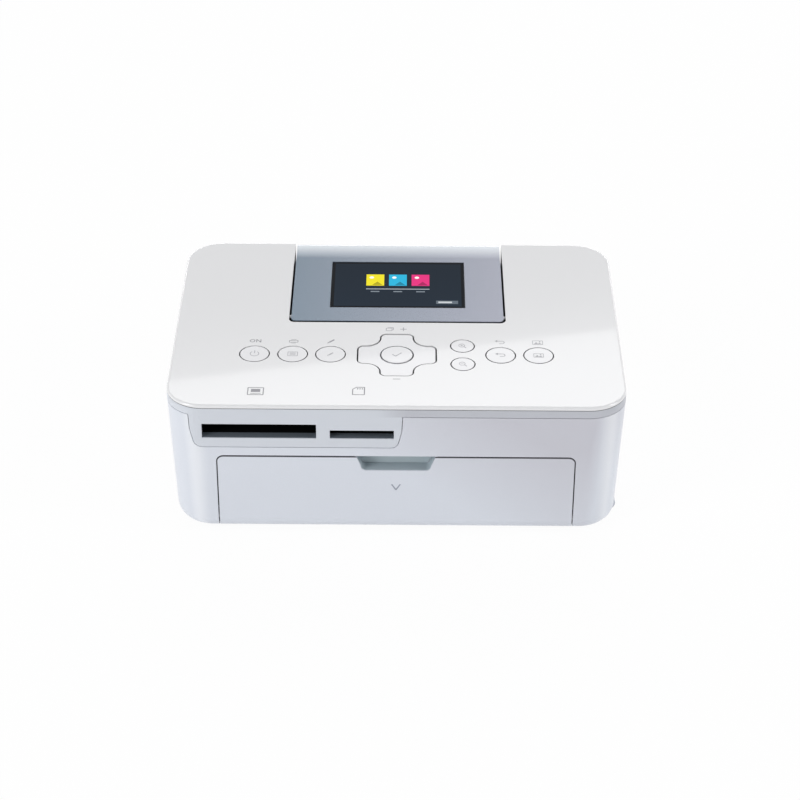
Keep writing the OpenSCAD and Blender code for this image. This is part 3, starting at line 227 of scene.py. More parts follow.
def gloss_white(name, colour, rough, shade_line_top, shade_line_grey):
    """Clear-coated white plastic of the top cover and the keys, with painted shade in grey below the given
    height, down in the gaps.
    """
    s = Shader(name)
    drift = s.noise(9, 2)
    peel = s.noise(260, 2)
    tint = s.mix(drift, shade(colour, 0.985), colour)
    grey = srgb(shade_line_grey, shade_line_grey, shade_line_grey + 4)
    # painted shade: grey on the sides below the given height, down in the gaps
    tint = s.mix(s.axis("Z").below(shade_line_top * MM, 0.00004), tint, grey)
    return s.finish(tint, rough + 0.04 * peel, relief=peel, height=0.000004,
                    Coat_Weight=0.6, Coat_Roughness=0.03, IOR=1.46)


def apron_painted_light(s):
    """The card-slot apron and the band above it, where painted light makes them lighter than the rest of
    the band.
    """
    return s.axis("Z").below(BAND_FOOT * MM, 0.0001).most(s.axis("X").below(-0.002, 0.008))


def satin_plastic(name, colour, rough, grain=1500, depth=0.000012, painted_light_mask=None):
    """Moulded case plastic with a fine spark-eroded grain."""
    s = Shader(name)
    drift = s.noise(14, 3)
    fine = s.noise(grain, 3)
    pits = s.cells(grain * 0.8)
    lighter = srgb(209, 213, 220)
    tint = s.mix(drift, shade(colour, 0.97), shade(colour, 1.01))
    # painted light: the given area lighter
    if painted_light_mask:
        tint = s.mix(painted_light_mask(s), tint, lighter)
    return s.finish(tint, rough + 0.08 * fine, relief=fine + 0.5 * pits, height=depth, IOR=1.48)


def door_rim(s):
    """The outermost edge of the front door's face, in the shade of the gap, wider along the top."""
    line = 0.14
    wider = 1.12
    side = (abs(s.axis("X") / MM) - (DOOR_HALF - DOOR_ROUND)).most(0)
    rise = ((s.axis("Z") / MM - (DOOR_TOP - DOOR_ROUND)) * wider).most(0)
    outermost = (side * side + rise * rise).above((DOOR_ROUND - line) ** 2, 0.3)
    return outermost * (s.axis("Y") / MM).below(FRONT_Y + 0.3, 0.06)


def pearl_case(name, rim=None):
    """Lavender-white case with a faint pearl grain, painted shade to the right and towards the top, and a
    painted highlight on its round corners.
    """
    s = Shader(name)
    base = srgb(217, 221, 229)
    painted_shade_tone = srgb(199, 199, 207)
    lighter = srgb(250, 251, 253)
    shadow = srgb(38, 38, 46)
    fleck = s.cells(2600)
    drift = s.noise(11, 3)
    tint = s.mix(drift, shade(base, 0.975), base)
    tint = s.mix(fleck.above(0.62, 0.2) * 0.25, tint, shade(base, 1.05))
    across, along, up = s.axis("X"), s.axis("Y"), s.axis("Z")

    # painted shade: a grey tone to the right as far as the round corner, and towards the top
    rightward = (across / 0.08).least(0.8) * across.below(0.0775, 0.0035)
    upward = ((up - 0.03) / 0.03).least(0.8)
    tint = s.mix(rightward + upward * 0.6, tint, painted_shade_tone)

    # painted highlight on the round corners, in front and behind, where the case turns to the light
    from_middle = along * along
    left_corner = across.below(-0.0748, 0.0027) * from_middle.above(0.0038, 0.00015)
    right_corner = across.above(0.0805, 0.0028) * from_middle.above(0.0034, 0.0002)
    tint = s.mix((left_corner + right_corner) * 0.4, tint, lighter)
    # painted shade of the gap along the door's edge, when a rim mask is given
    if rim:
        tint = s.mix(rim(s) * 0.92, tint, shadow)
    fine = s.noise(1700, 2)
    return s.finish(tint, 0.34 + 0.07 * drift, metallic=0.05, relief=fine, height=0.000008,
                    Coat_Weight=0.22, Coat_Roughness=0.18, IOR=1.48)


def silver_paint(name, colour):
    """Metallic paint of the screen frame: painted light in a warm tone to the right, a lighter painted
    reflection at the rear, dark painted shade at its foot.
    """
    s = Shader(name)
    painted_light_warm, lighter, dark = srgb(143, 141, 152), srgb(193, 197, 201), srgb(20, 22, 26)
    rear_start, rear_reach = 0.0507, 0.0125
    frame_width = 0.086
    flakes = s.cells(5200)
    cloud = s.noise(20, 2)
    tint = s.mix(flakes.above(0.5, 0.3), shade(colour, 0.92), shade(colour, 1.1))
    tint = s.mix(cloud * 0.3, tint, shade(colour, 0.95))
    # painted light, warm in tone, growing to the right
    tint = s.mix((s.axis("X") / frame_width + 0.5) * 0.6, tint, painted_light_warm)
    # painted reflection: lighter towards the rear edge
    tint = s.mix(((s.axis("Y") - rear_start) / rear_reach).least(0.8), tint, lighter)
    # painted shade: dark at the frame's foot, down in the gap
    tint = s.mix(s.axis("Z").below((PLATE_TOP - 0.32) * MM, 0.00008), tint, dark)
    return s.finish(tint, 0.26 + 0.08 * flakes, metallic=0.65, relief=flakes, height=0.000004,
                    Coat_Weight=0.3, Coat_Roughness=0.08)


def brushed_metal(name, colour, along=(40, 2600, 2600), rough=0.28):
    """Turned or rolled steel with fine lines along one axis."""
    s = Shader(name)
    lines = s.noise(1.0, 4, s.stretched(*along), 0.65)
    cloud = s.noise(30, 3)
    tint = s.mix(lines, shade(colour, 0.86), shade(colour, 1.08))
    tint = s.mix(cloud * 0.35, tint, shade(colour, 0.8))
    return s.finish(tint, rough + 0.16 * lines, metallic=1.0, relief=lines, height=0.000008)


def zinc_sheet(name):
    """Galvanised sheet: large soft spangles over rolled steel."""
    s = Shader(name)
    colour = srgb(168, 172, 174)
    spangle = s.cells(170)
    rolled = s.noise(1.0, 3, s.stretched(60, 60, 1800), 0.6)
    tint = s.mix(spangle, shade(colour, 0.8), shade(colour, 1.12))
    return s.finish(tint, 0.32 + 0.2 * spangle, metallic=0.9, relief=rolled, height=0.000006)


def circuit_board(name):
    """Green solder mask over copper tracks, with pads."""
    s = Shader(name)
    mask = srgb(20, 92, 58)
    x, y = s.axis("X"), s.axis("Y")
    pitch = 0.0026
    track = abs(x.wrap(pitch) - pitch / 2).below(0.00022, 0.00005)
    run = s.noise(120, 1).above(0.52, 0.02)
    cross = abs(y.wrap(pitch * 2) - pitch).below(0.00022, 0.00005)
    copper = (track * run).most(cross * (1.0 - run))
    pad_x, pad_y = x.wrap(pitch * 2) - pitch, y.wrap(pitch * 2) - pitch
    pad = (pad_x * pad_x + pad_y * pad_y).below(0.0000003, 0.0000001)
    tint = s.mix(s.noise(60, 2) * 0.4, mask, shade(mask, 0.75))
    tint = s.mix(copper * 0.75, tint, shade(mask, 1.7))
    tint = s.mix(pad, tint, srgb(205, 190, 150))
    return s.finish(tint, 0.36 - 0.1 * copper, metallic=pad * 0.9, relief=copper.most(pad), height=0.00003)


def rubber_skin(name, grey, grain=900):
    s = Shader(name)
    fine = s.noise(grain, 4, rough=0.7)
    dust = s.noise(45, 3)
    tint = s.mix(dust * 0.5, grey, shade(grey, 1.5))
    return s.finish(tint, 0.72 + 0.15 * fine, relief=fine, height=0.00004, Specular_IOR_Level=0.35)


def moulded_dark(name, colour, rough=0.45, shine=0.5):
    s = Shader(name)
    fine = s.noise(1300, 3)
    cloud = s.noise(40, 2)
    tint = s.mix(cloud, shade(colour, 0.85), shade(colour, 1.12))
    return s.finish(tint, rough + 0.12 * fine, relief=fine, height=0.00001, Specular_IOR_Level=shine)


def ribbon_film(name):
    """Thin dye film in colour fields that follow each other along its path."""
    s = Shader(name)
    field = (s.axis("Y") + s.axis("Z")).wrap(0.036) / 0.036
    stops = [(0.0, srgb(232, 196, 40)), (0.33, srgb(205, 40, 110)), (0.66, srgb(30, 130, 190))]
    ramp = s.node("ShaderNodeValToRGB", {"stops": stops}, field)
    ramp.node.color_ramp.interpolation = "CONSTANT"
    wrinkle_and_shade = s.noise(1.0, 2, s.stretched(30, 500, 500))
    # painted shade: darker along the wrinkles, whose noise also gives the bump
    tint = s.mix(wrinkle_and_shade * 0.3, ramp.out(0), srgb(90, 70, 90))
    return s.finish(tint, 0.18 + 0.1 * wrinkle_and_shade, relief=wrinkle_and_shade, height=0.00004)


def ceramic_strip(name):
    """Print head: tan ceramic with its row of dark heating dots."""
    s = Shader(name)
    body = srgb(176, 150, 120)
    dots = abs(s.axis("X").wrap(0.0007) - 0.00035).below(0.00012, 0.00004)
    speck = s.noise(700, 3)
    tint = s.mix(speck, shade(body, 0.9), shade(body, 1.08))
    tint = s.mix(dots * 0.55, tint, srgb(60, 46, 38))
    return s.finish(tint, 0.3 + 0.15 * speck, relief=speck, height=0.00001)


def screen_image(name):
    """Dark screen with a plain menu of three picture tiles, a rule and a battery bar."""
    s = Shader(name)
    x, y = s.axis("X"), s.axis("Y")
    foot_y, height, centre_y = 0.0103, 0.0373, 0.0302
    spots = (-0.0094, 0.0, 0.0094)
    down = y - centre_y
    glow = srgb(27, 38, 50)
    tint = s.mix((y - foot_y) / height, shade(glow, 1.1), shade(glow, 0.86))
    rim = (abs(x).above(0.0262, 0.00005)).most(abs(down + 0.0012).above(0.0173, 0.00005))
    tint = s.mix(rim, tint, srgb(14, 18, 23))
    colours = (srgb(236, 222, 40), srgb(40, 176, 214), srgb(226, 50, 124))
    for centre, colour in zip(spots, colours):
        tile = (abs(x - centre) - 0.0037).most(abs(down - 0.0026) - 0.0046)
        tint = s.mix(tile.below(0.0, 0.00006), tint, colour)
        hill = (abs(x - centre - 0.0009) * 1.3 + (down - 0.0014)).below(0.0, 0.00008)
        hill = hill * tile.below(-0.0005, 0.00005)
        tint = s.mix(hill * 0.75, tint, shade(colour, 0.35))
        sun_x, sun_y = x - centre + 0.0015, down - 0.0047
        sun = (sun_x * sun_x + sun_y * sun_y).below(0.00000085, 0.0000001)
        tint = s.mix(sun, tint, srgb(245, 245, 240))
    rule = abs(x).below(0.0131, 0.0001) * abs(down + 0.0047).below(0.0003, 0.00006)
    tint = s.mix(rule * 0.8, tint, srgb(190, 196, 202))
    for spot in spots:
        mark = abs(x - spot).below(0.0018, 0.00008) * abs(down + 0.0068).below(0.0004, 0.00006)
        tint = s.mix(mark * 0.7, tint, srgb(150, 160, 170))
    bar = abs(x - 0.0203).below(0.0045, 0.0001) * abs(down + 0.0152).below(0.0013, 0.0001)
    tint = s.mix(bar, tint, srgb(98, 108, 118))
    charge = abs(x - 0.0195).below(0.0028, 0.0001) * abs(down + 0.0152).below(0.0006, 0.0001)
    tint = s.mix(charge, tint, srgb(200, 205, 208))
    s.surface.inputs["Emission Strength"].default_value = 0.25
    s.fill(s.surface.inputs["Emission Color"], tint)
    smear = s.noise(35, 2)
    return s.finish(tint, 0.05 + 0.05 * smear, IOR=1.12)


def print_ink(name, colour):
    s = Shader(name)
    speck = s.noise(2200, 2)
    tint = s.mix(speck, shade(colour, 0.94), shade(colour, 1.06))
    return s.finish(tint, 0.38 + 0.1 * speck)


MATERIALS = {
    # for the cover and the keys, the last two numbers are the height below which shade is painted on their
    # sides in the gaps, and its grey
    "cover": gloss_white("cover_gloss_white", srgb(232, 232, 233), 0.12, PLATE_TOP - 1.3, 96),
    "key": gloss_white("key_white", srgb(233, 233, 235), 0.2, PLATE_TOP - 0.07, 88),
    "pad": gloss_white("pad_white", srgb(233, 233, 235), 0.2, PLATE_TOP - 0.25, 44),
    "ok_key": gloss_white("ok_key_white", srgb(233, 233, 235), 0.2, PLATE_TOP - 0.12, 150),
    "case": pearl_case("case_pearl"),
    "door_case": pearl_case("door_pearl", door_rim),
    # the band's grey is painted shade under the cover's edge; painted light lifts the apron and the band
    # above it
    "band": satin_plastic("band_grey", srgb(191, 193, 200), 0.36, painted_light_mask=apron_painted_light),
    "silver": silver_paint("screen_frame_silver", srgb(85, 100, 114)),
    "screen": screen_image("screen_image"),
    "glass": moulded_dark("display_body", srgb(40, 48, 56), 0.2),
    "lining": satin_plastic("lining_grey", srgb(138, 150, 156), 0.5, 1200, 0.00002),
    "recess": satin_plastic("recess_grey", srgb(175, 188, 195), 0.45),
    "ledge": satin_plastic("slot_ledge_grey", srgb(98, 106, 114), 0.5),
    "deep": satin_plastic("recess_shade_grey", srgb(192, 205, 210), 0.5),
    "dark": moulded_dark("dark_plastic", srgb(46, 47, 50)),
    "black": moulded_dark("black_plastic", srgb(30, 30, 32)),
    "socket": moulded_dark("socket_black", srgb(9, 11, 11), 0.7, 0.1),
    "gap": moulded_dark("gap_black", srgb(14, 15, 17), 0.7, 0.15),
    "board": circuit_board("circuit_board"),
    "steel": brushed_metal("brushed_steel", srgb(186, 188, 192)),
    "zinc": zinc_sheet("zinc_sheet"),
    "alloy": brushed_metal("fin_alloy", srgb(196, 198, 202), (30, 30, 1500), 0.34),
    "brass": brushed_metal("brass", srgb(200, 164, 84), (1500, 60, 60), 0.3),
    "acetal": satin_plastic("acetal", srgb(228, 225, 212), 0.38),
    "rubber": rubber_skin("rubber", srgb(44, 44, 46)),
    "roller": rubber_skin("roller_rubber", srgb(58, 60, 62), 1600),
    "ceramic": ceramic_strip("ceramic_strip"),
    "film": ribbon_film("ribbon_film"),
    "ink": print_ink("printed_grey", srgb(142, 142, 147)),
    "pale_ink": print_ink("printed_pale_grey", srgb(165, 165, 170)),
    "case_ink": print_ink("printed_case_grey", srgb(150, 156, 168)),
}

# CAD nodes that keep their own mesh, by material
PLAIN_NODES = {
    "steel": ["hinge_pins", "dome_switches", "feed_roller", "pinch_roller", "head_shaft"],
    "lining": ["ink_bay_panel", "paper_guide", "ink_cassette_case"],
    "glass": ["lcd_display"],
    "case": ["lcd_back", "base_plate"],
    "board": ["button_board", "main_board", "interface_board"],
    "black": ["main_chips", "power_jack", "fan_frame", "supply_spool", "takeup_spool"],
    "dark": ["fan_rotor", "lcd_tray"],
    "socket": ["large_card_socket", "small_card_socket"],
    "zinc": ["wide_data_port", "narrow_data_port", "chassis_left", "chassis_right", "feed_motor",
             "ribbon_motor", "gearbox_plate", "head_arm"],
    "alloy": ["head_heatsink"],
    "brass": ["motor_pinion"],
    "acetal": ["dpad_pivot", "feed_gear", "pickup_gear", "ribbon_hub"],
    "roller": ["platen_roller", "pickup_roller"],
    "ceramic": ["thermal_head"],
    "film": ["ink_ribbon"],
}


# ---------------------------------------------------------------- mesh tools

def add_object(name, mesh, material):
    item = bpy.data.objects.new(name, mesh)
    bpy.context.scene.collection.objects.link(item)
    mesh.materials.clear()
    mesh.materials.append(MATERIALS[material])
    return item


def smooth_by_angle(bm):
    """Smooth faces, with the edges above the sharp angle kept sharp."""
    for face in bm.faces:
        face.smooth = True
    for edge in bm.edges:
        edge.smooth = not (edge.is_manifold and edge.calc_face_angle(0) > math.radians(SHARP_ANGLE))


def round_edges(bm, test, width, segments):
    """Rounds the sharp edges whose middle, in millimetres, passes the test."""
    chosen = []
    for edge in bm.edges:
        if edge.is_manifold and edge.calc_face_angle(0) > math.radians(35):
            middle = (edge.verts[0].co + edge.verts[1].co) / (2 * MM)
            if test(middle):
                chosen.append(edge)
    if chosen:
        bmesh.ops.bevel(bm, geom=chosen, offset=width * MM, offset_type="OFFSET", segments=segments,
                        profile=0.5, affect="EDGES", clamp_overlap=True, loop_slide=True)


def dressed_copy(node, name, body, material, rounds):
    """A copy of a CAD piece, joined up, that stands for it. Each of rounds is a test, a width in
    millimetres and a number of steps for round_edges."""
    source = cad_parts[node]
    mesh = source.data.copy()
    mesh.name = name
    bm = bmesh.new()
    bm.from_mesh(mesh)
    bmesh.ops.remove_doubles(bm, verts=bm.verts, dist=0.000002)
    bmesh.ops.dissolve_limit(bm, angle_limit=math.radians(1.0), verts=bm.verts, edges=bm.edges)
    for test, width, segments in rounds:
        round_edges(bm, test, width, segments)
    smooth_by_angle(bm)
    bm.to_mesh(mesh)
    bm.free()
    item = add_object(name, mesh, material)
    weighted = item.modifiers.new("weighted", "WEIGHTED_NORMAL")
    weighted.keep_sharp = True
    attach(item, body)
    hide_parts(node)


def mesh_piece(name, body, material, build):
    """A piece whose mesh a builder fills in, in millimetres."""
    bm = bmesh.new()
    build(bm)
    bmesh.ops.scale(bm, vec=(MM, MM, MM), verts=bm.verts)
    bmesh.ops.recalc_face_normals(bm, faces=bm.faces)
    smooth_by_angle(bm)
    mesh = bpy.data.meshes.new(name)
    bm.to_mesh(mesh)
    bm.free()
    item = add_object(name, mesh, material)
    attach(item, body)


def prism(bm, outline, place, thick):
    """Extrudes an outline of (u, v) points, set in space by place(u, v), by the vector thick."""
    low = [bm.verts.new(place(u, v)) for u, v in outline]
    high = [bm.verts.new(v.co + Vector(thick)) for v in low]
    bm.faces.new(high)
    bm.faces.new(list(reversed(low)))
    for i in range(len(outline)):
        j = (i + 1) % len(outline)
        bm.faces.new((low[i], low[j], high[j], high[i]))


def upright(bm, outline, y, depth):
    """A plate with its outline in X and Z, from y by the depth along Y."""
    prism(bm, outline, lambda u, v: Vector((u, y, v)), (0, depth, 0))


def block(bm, x, y, z):
    """A box between two limits on each axis."""
    prism(bm, [(x[0], y[0]), (x[1], y[0]), (x[1], y[1]), (x[0], y[1])],
          lambda u, v: Vector((u, v, z[0])), (0, 0, z[1] - z[0]))


def arc_points(centre, radius, start, end, steps=8):
    """Points along an arc between two angles in degrees."""
    angles = [math.radians(start + (end - start) * i / steps) for i in range(steps + 1)]
    return [(centre[0] + radius * math.cos(a), centre[1] + radius * math.sin(a)) for a in angles]


# ---------------------------------------------------------------- flat prints

class Print:
    """Flat marks laid on a surface, each a thin closed plate."""

    def __init__(self, origin, across, up, thick=0.03):
        self.origin = Vector(origin)
        self.across = Vector(across).normalized()
        self.up = Vector(up).normalized()
        self.out = self.across.cross(self.up)
        self.thick = thick
        self.rings = []

    def outline(self, points):
        """A filled shape given by its corner points, anticlockwise."""
        self.rings.append([Vector((x, y)) for x, y in points])

    def bar(self, start, end, width):
        a, b = Vector(start), Vector(end)
        side = (b - a).normalized()
        side = Vector((-side.y, side.x)) * width / 2
        self.rings.append([a + side, a - side, b - side, b + side])

    def path(self, points, width):
        for first, second in zip(points, points[1:]):
            self.bar(first, second, width)

    def arc(self, centre, radius, width, start, end, steps=20):
        inner = arc_points(centre, radius - width / 2, start, end, steps)
        outer = arc_points(centre, radius + width / 2, start, end, steps)
        for i in range(steps):
            self.outline([inner[i], outer[i], outer[i + 1], inner[i + 1]])

    def disc(self, centre, radius, steps=20):
        cx, cy = centre
        self.outline([(cx + radius * math.cos(2 * math.pi * i / steps),
                       cy + radius * math.sin(2 * math.pi * i / steps)) for i in range(steps)])

    def box(self, x0, y0, x1, y1, width):
        self.path([(x0, y0), (x1, y0), (x1, y1), (x0, y1), (x0, y0)], width)

    def fill_mesh(self, bm):
        def place(u, v):
            return self.origin + self.across * u + self.up * v

        for ring in self.rings:
            prism(bm, ring, place, self.out * self.thick)


def power_mark(p, s):
    p.arc((0, 0), 1.7 * s, 0.34 * s, 125, 415)
    p.bar((0, 0.3 * s), (0, 2.3 * s), 0.34 * s)


def list_mark(p, s):
    p.box(-2.1 * s, -1.6 * s, 2.1 * s, 1.6 * s, 0.3 * s)
    for y in (-0.7, 0.05, 0.8):
        p.bar((-1.3 * s, y * s), (1.3 * s, y * s), 0.3 * s)


def return_mark(p, s):
    p.path([(-1.4 * s, 1.0 * s), (0.8 * s, 1.0 * s)], 0.34 * s)
    p.arc((0.8 * s, 0), 1.0 * s, 0.34 * s, -90, 90, 14)
    p.bar((0.8 * s, -1.0 * s), (-0.4 * s, -1.0 * s), 0.34 * s)
    p.outline([(-2.3 * s, 1.0 * s), (-1.1 * s, 0.2 * s), (-1.1 * s, 1.8 * s)])


def lens_mark(p, plus, s):
    p.arc((-0.3 * s, 0.3 * s), 1.2 * s, 0.28 * s, 0, 360, 24)
    p.bar((0.6 * s, -0.6 * s), (1.6 * s, -1.6 * s), 0.36 * s)
    p.bar((-0.85 * s, 0.3 * s), (0.25 * s, 0.3 * s), 0.24 * s)
    if plus:
        p.bar((-0.3 * s, -0.25 * s), (-0.3 * s, 0.85 * s), 0.24 * s)


def picture_mark(p, s):
    p.box(-2.1 * s, -1.5 * s, 2.1 * s, 1.5 * s, 0.28 * s)
    p.outline([(-1.6 * s, -1.1 * s), (-0.6 * s, 0.4 * s), (0.2 * s, -1.1 * s)])
    p.outline([(0.0 * s, -1.1 * s), (0.8 * s, 0.0), (1.6 * s, -1.1 * s)])
    p.disc((0.9 * s, 0.7 * s), 0.36 * s, 14)


def pencil_mark(p, s):
    p.bar((-0.7 * s, -0.7 * s), (1.1 * s, 1.1 * s), 0.7 * s)
    p.outline([(-1.5 * s, -1.5 * s), (-0.55 * s, -1.1 * s), (-1.1 * s, -0.55 * s)])


def tick_mark(p, s):
    p.path([(-1.6 * s, 0.1 * s), (-0.5 * s, -1.1 * s), (1.7 * s, 1.2 * s)], 0.42 * s)


def tray_mark(p, s):
    p.box(-1.7 * s, -0.9 * s, 1.7 * s, 0.5 * s, 0.26 * s)
    p.bar((-1.0 * s, 1.1 * s), (1.0 * s, 1.1 * s), 0.26 * s)
    p.bar((-0.9 * s, -1.5 * s), (0.9 * s, -1.5 * s), 0.26 * s)


def on_mark(p, s):
    p.arc((-1.15 * s, 0), 0.8 * s, 0.3 * s, 0, 360, 20)
    p.path([(0.3 * s, -0.95 * s), (0.3 * s, 0.95 * s)], 0.3 * s)
    p.path([(1.75 * s, -0.95 * s), (1.75 * s, 0.95 * s)], 0.3 * s)
    p.path([(0.3 * s, 0.85 * s), (1.75 * s, -0.85 * s)], 0.3 * s)


def copies_mark(p, s):
    p.box(-3.4 * s, -0.9 * s, -1.6 * s, 0.5 * s, 0.24 * s)
    p.path([(-3.0 * s, 0.95 * s), (-1.2 * s, 0.95 * s), (-1.2 * s, -0.5 * s)], 0.24 * s)
    p.bar((0.9 * s, 0), (2.9 * s, 0), 0.3 * s)
    p.bar((1.9 * s, -1.0 * s), (1.9 * s, 1.0 * s), 0.3 * s)


def minus_mark(p):
    p.bar((-1.4, 0), (1.4, 0), 0.34)


def card_mark(p, clipped, s):
    if clipped:
        p.path([(-1.9 * s, -2.2 * s), (1.9 * s, -2.2 * s), (1.9 * s, 2.2 * s), (-0.7 * s, 2.2 * s),
                (-1.9 * s, 1.0 * s), (-1.9 * s, -2.2 * s)], 0.34 * s)
        for x in (-0.3, 0.45, 1.2):
            p.bar((x * s, 0.9 * s), (x * s, 1.7 * s), 0.32 * s)
    else:
        p.box(-2.5 * s, -2.1 * s, 2.5 * s, 2.1 * s, 0.34 * s)
        p.bar((-1.7 * s, -1.3 * s), (1.7 * s, -1.3 * s), 0.3 * s)
        p.outline([(-1.5 * s, -0.5 * s), (1.5 * s, -0.5 * s), (1.5 * s, 1.3 * s), (-1.5 * s, 1.3 * s)])


def flat_mark(name, body, x, y, z, draw, material, *sizes):
    """A print on the cover or on a key, drawn by one of the mark functions."""
    mark = Print((x, y, z), (1, 0, 0), (0, 1, 0))
    draw(mark, *sizes)
    mesh_piece(name, body, material, mark.fill_mesh)


# ---------------------------------------------------------------- repeated pieces, by Geometry Nodes

class Tree:
    """A Geometry Nodes tree with named inputs."""

    def __init__(self, name, sizes):
        self.group = bpy.data.node_groups.new(name, "GeometryNodeTree")
        face = self.group.interface
        face.new_socket("Geometry", in_out="INPUT", socket_type="NodeSocketGeometry")
        face.new_socket("Geometry", in_out="OUTPUT", socket_type="NodeSocketGeometry")
        self.keys = {}
        for label, (kind, value) in sizes.items():
            socket = face.new_socket(label, in_out="INPUT", socket_type=kind)
            socket.default_value = value
            self.keys[label] = socket.identifier
        self.start = self.group.nodes.new("NodeGroupInput")
        self.end = self.group.nodes.new("NodeGroupOutput")

    def add(self, kind, settings=None, **links):
        made = self.group.nodes.new(kind)
        for key, value in (settings or {}).items():
            setattr(made, key, value)
        for key, value in links.items():
            socket = made.inputs[key.replace("_", " ")]
            if isinstance(value, bpy.types.NodeSocket):
                self.group.links.new(value, socket)
            else:
                socket.default_value = value
        return made

    def size(self, label):
        return self.start.outputs[label]

    def close(self, instances, material):
        real = self.add("GeometryNodeRealizeInstances", Geometry=instances)
        paint = self.add("GeometryNodeSetMaterial", Geometry=real.outputs[0], Material=MATERIALS[material])
        self.group.links.new(paint.outputs[0], self.end.inputs[0])


def grown(name, tree, body, material, points, sizes=None):
    """Runs a tree on loose points, in millimetres, and keeps the result as a plain mesh."""
    seed = bpy.data.meshes.new(name + "_points")
    seed.from_pydata([Vector(p) * MM for p in points], [], [])
    carrier = bpy.data.objects.new(name + "_points", seed)
    bpy.context.scene.collection.objects.link(carrier)
    grow = carrier.modifiers.new("grow", "NODES")
    grow.node_group = tree.group
    for label, value in (sizes or {}).items():
        grow[tree.keys[label]] = value
    graph = bpy.context.evaluated_depsgraph_get()
    mesh = bpy.data.meshes.new_from_object(carrier.evaluated_get(graph), depsgraph=graph)
    carrier.modifiers.remove(grow)
    bpy.data.objects.remove(carrier)
    bm = bmesh.new()
    bm.from_mesh(mesh)
    bmesh.ops.remove_doubles(bm, verts=bm.verts, dist=0.000001)
    smooth_by_angle(bm)
    bm.to_mesh(mesh)
    bm.free()
    mesh.name = name
    item = add_object(name, mesh, material)
    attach(item, body)
    return item


def screw_tree():
    """Pan-head screw with a cross recess, seen from below."""
    t = Tree("cross_screw", {"Head Radius": ("NodeSocketFloat", 0.0025),
                             "Head Height": ("NodeSocketFloat", 0.001),
                             "Shank Radius": ("NodeSocketFloat", 0.00115),
                             "Shank Length": ("NodeSocketFloat", 0.0098)})
    head = t.add("GeometryNodeMeshCylinder", Vertices=32, Radius=t.size("Head Radius"),
                 Depth=t.size("Head Height"))
    cross = []
    for size in ((0.003, 0.0006, 0.0012), (0.0006, 0.003, 0.0012)):
        arm = t.add("GeometryNodeMeshCube", Size=size)
        cross.append(t.add("GeometryNodeTransform", Geometry=arm.outputs[0],
                           Translation=(0, 0, -0.0007)).outputs[0])
    cut = t.add("GeometryNodeMeshBoolean", {"operation": "DIFFERENCE", "solver": "EXACT"})
    t.group.links.new(head.outputs[0], cut.inputs[0])
    for arm in cross:
        t.group.links.new(arm, cut.inputs[1])
    shank = t.add("GeometryNodeMeshCylinder", Vertices=24, Radius=t.size("Shank Radius"),
                  Depth=t.size("Shank Length"))
    raised = t.add("GeometryNodeTransform", Geometry=shank.outputs[0], Translation=(0, 0, 0.0052))
    whole = t.add("GeometryNodeJoinGeometry")
    t.group.links.new(cut.outputs[0], whole.inputs[0])
    t.group.links.new(raised.outputs[0], whole.inputs[0])
    spread = t.add("GeometryNodeInstanceOnPoints", Points=t.start.outputs[0], Instance=whole.outputs[0])
    t.close(spread.outputs[0], "steel")
    return t


def foot_tree():
    """Round rubber foot with raised rings on its sole."""
    t = Tree("ringed_foot", {"Radius": ("NodeSocketFloat", 0.005), "Height": ("NodeSocketFloat", 0.0023),
                             "Ring Spacing": ("NodeSocketFloat", 0.0013)})
    pad = t.add("GeometryNodeMeshCylinder", Vertices=48, Radius=t.size("Radius"), Depth=t.size("Height"))
    pad = t.add("GeometryNodeTransform", Geometry=pad.outputs[0], Translation=(0, 0, 0.00145))
    whole = t.add("GeometryNodeJoinGeometry")
    t.group.links.new(pad.outputs[0], whole.inputs[0])
    for count in (1, 2, 3):
        radius = t.add("ShaderNodeMath", {"operation": "MULTIPLY"})
        t.group.links.new(t.size("Ring Spacing"), radius.inputs[0])
        radius.inputs[1].default_value = count
        ring = t.add("GeometryNodeCurvePrimitiveCircle", Resolution=40, Radius=radius.outputs[0])
        bead = t.add("GeometryNodeCurvePrimitiveCircle", Resolution=8, Radius=0.0003)
        sweep = t.add("GeometryNodeCurveToMesh", Curve=ring.outputs[0], Profile_Curve=bead.outputs[0])
        lift = t.add("GeometryNodeTransform", Geometry=sweep.outputs[0], Translation=(0, 0, 0.0003))
        t.group.links.new(lift.outputs[0], whole.inputs[0])
    spread = t.add("GeometryNodeInstanceOnPoints", Points=t.start.outputs[0], Instance=whole.outputs[0])
    t.close(spread.outputs[0], "rubber")
    return t


def rib_tree(name, material):
    """Equal ribs in a row."""
    t = Tree(name, {"Rib Size": ("NodeSocketVector", (0.001, 0.001, 0.001))})
    rib = t.add("GeometryNodeMeshCube", Size=t.size("Rib Size"))
    spread = t.add("GeometryNodeInstanceOnPoints", Points=t.start.outputs[0], Instance=rib.outputs[0])
    t.close(spread.outputs[0], material)
    return t


# ---------------------------------------------------------------- the printer

def near(value, target, slack=0.06):
    return abs(value - target) < slack


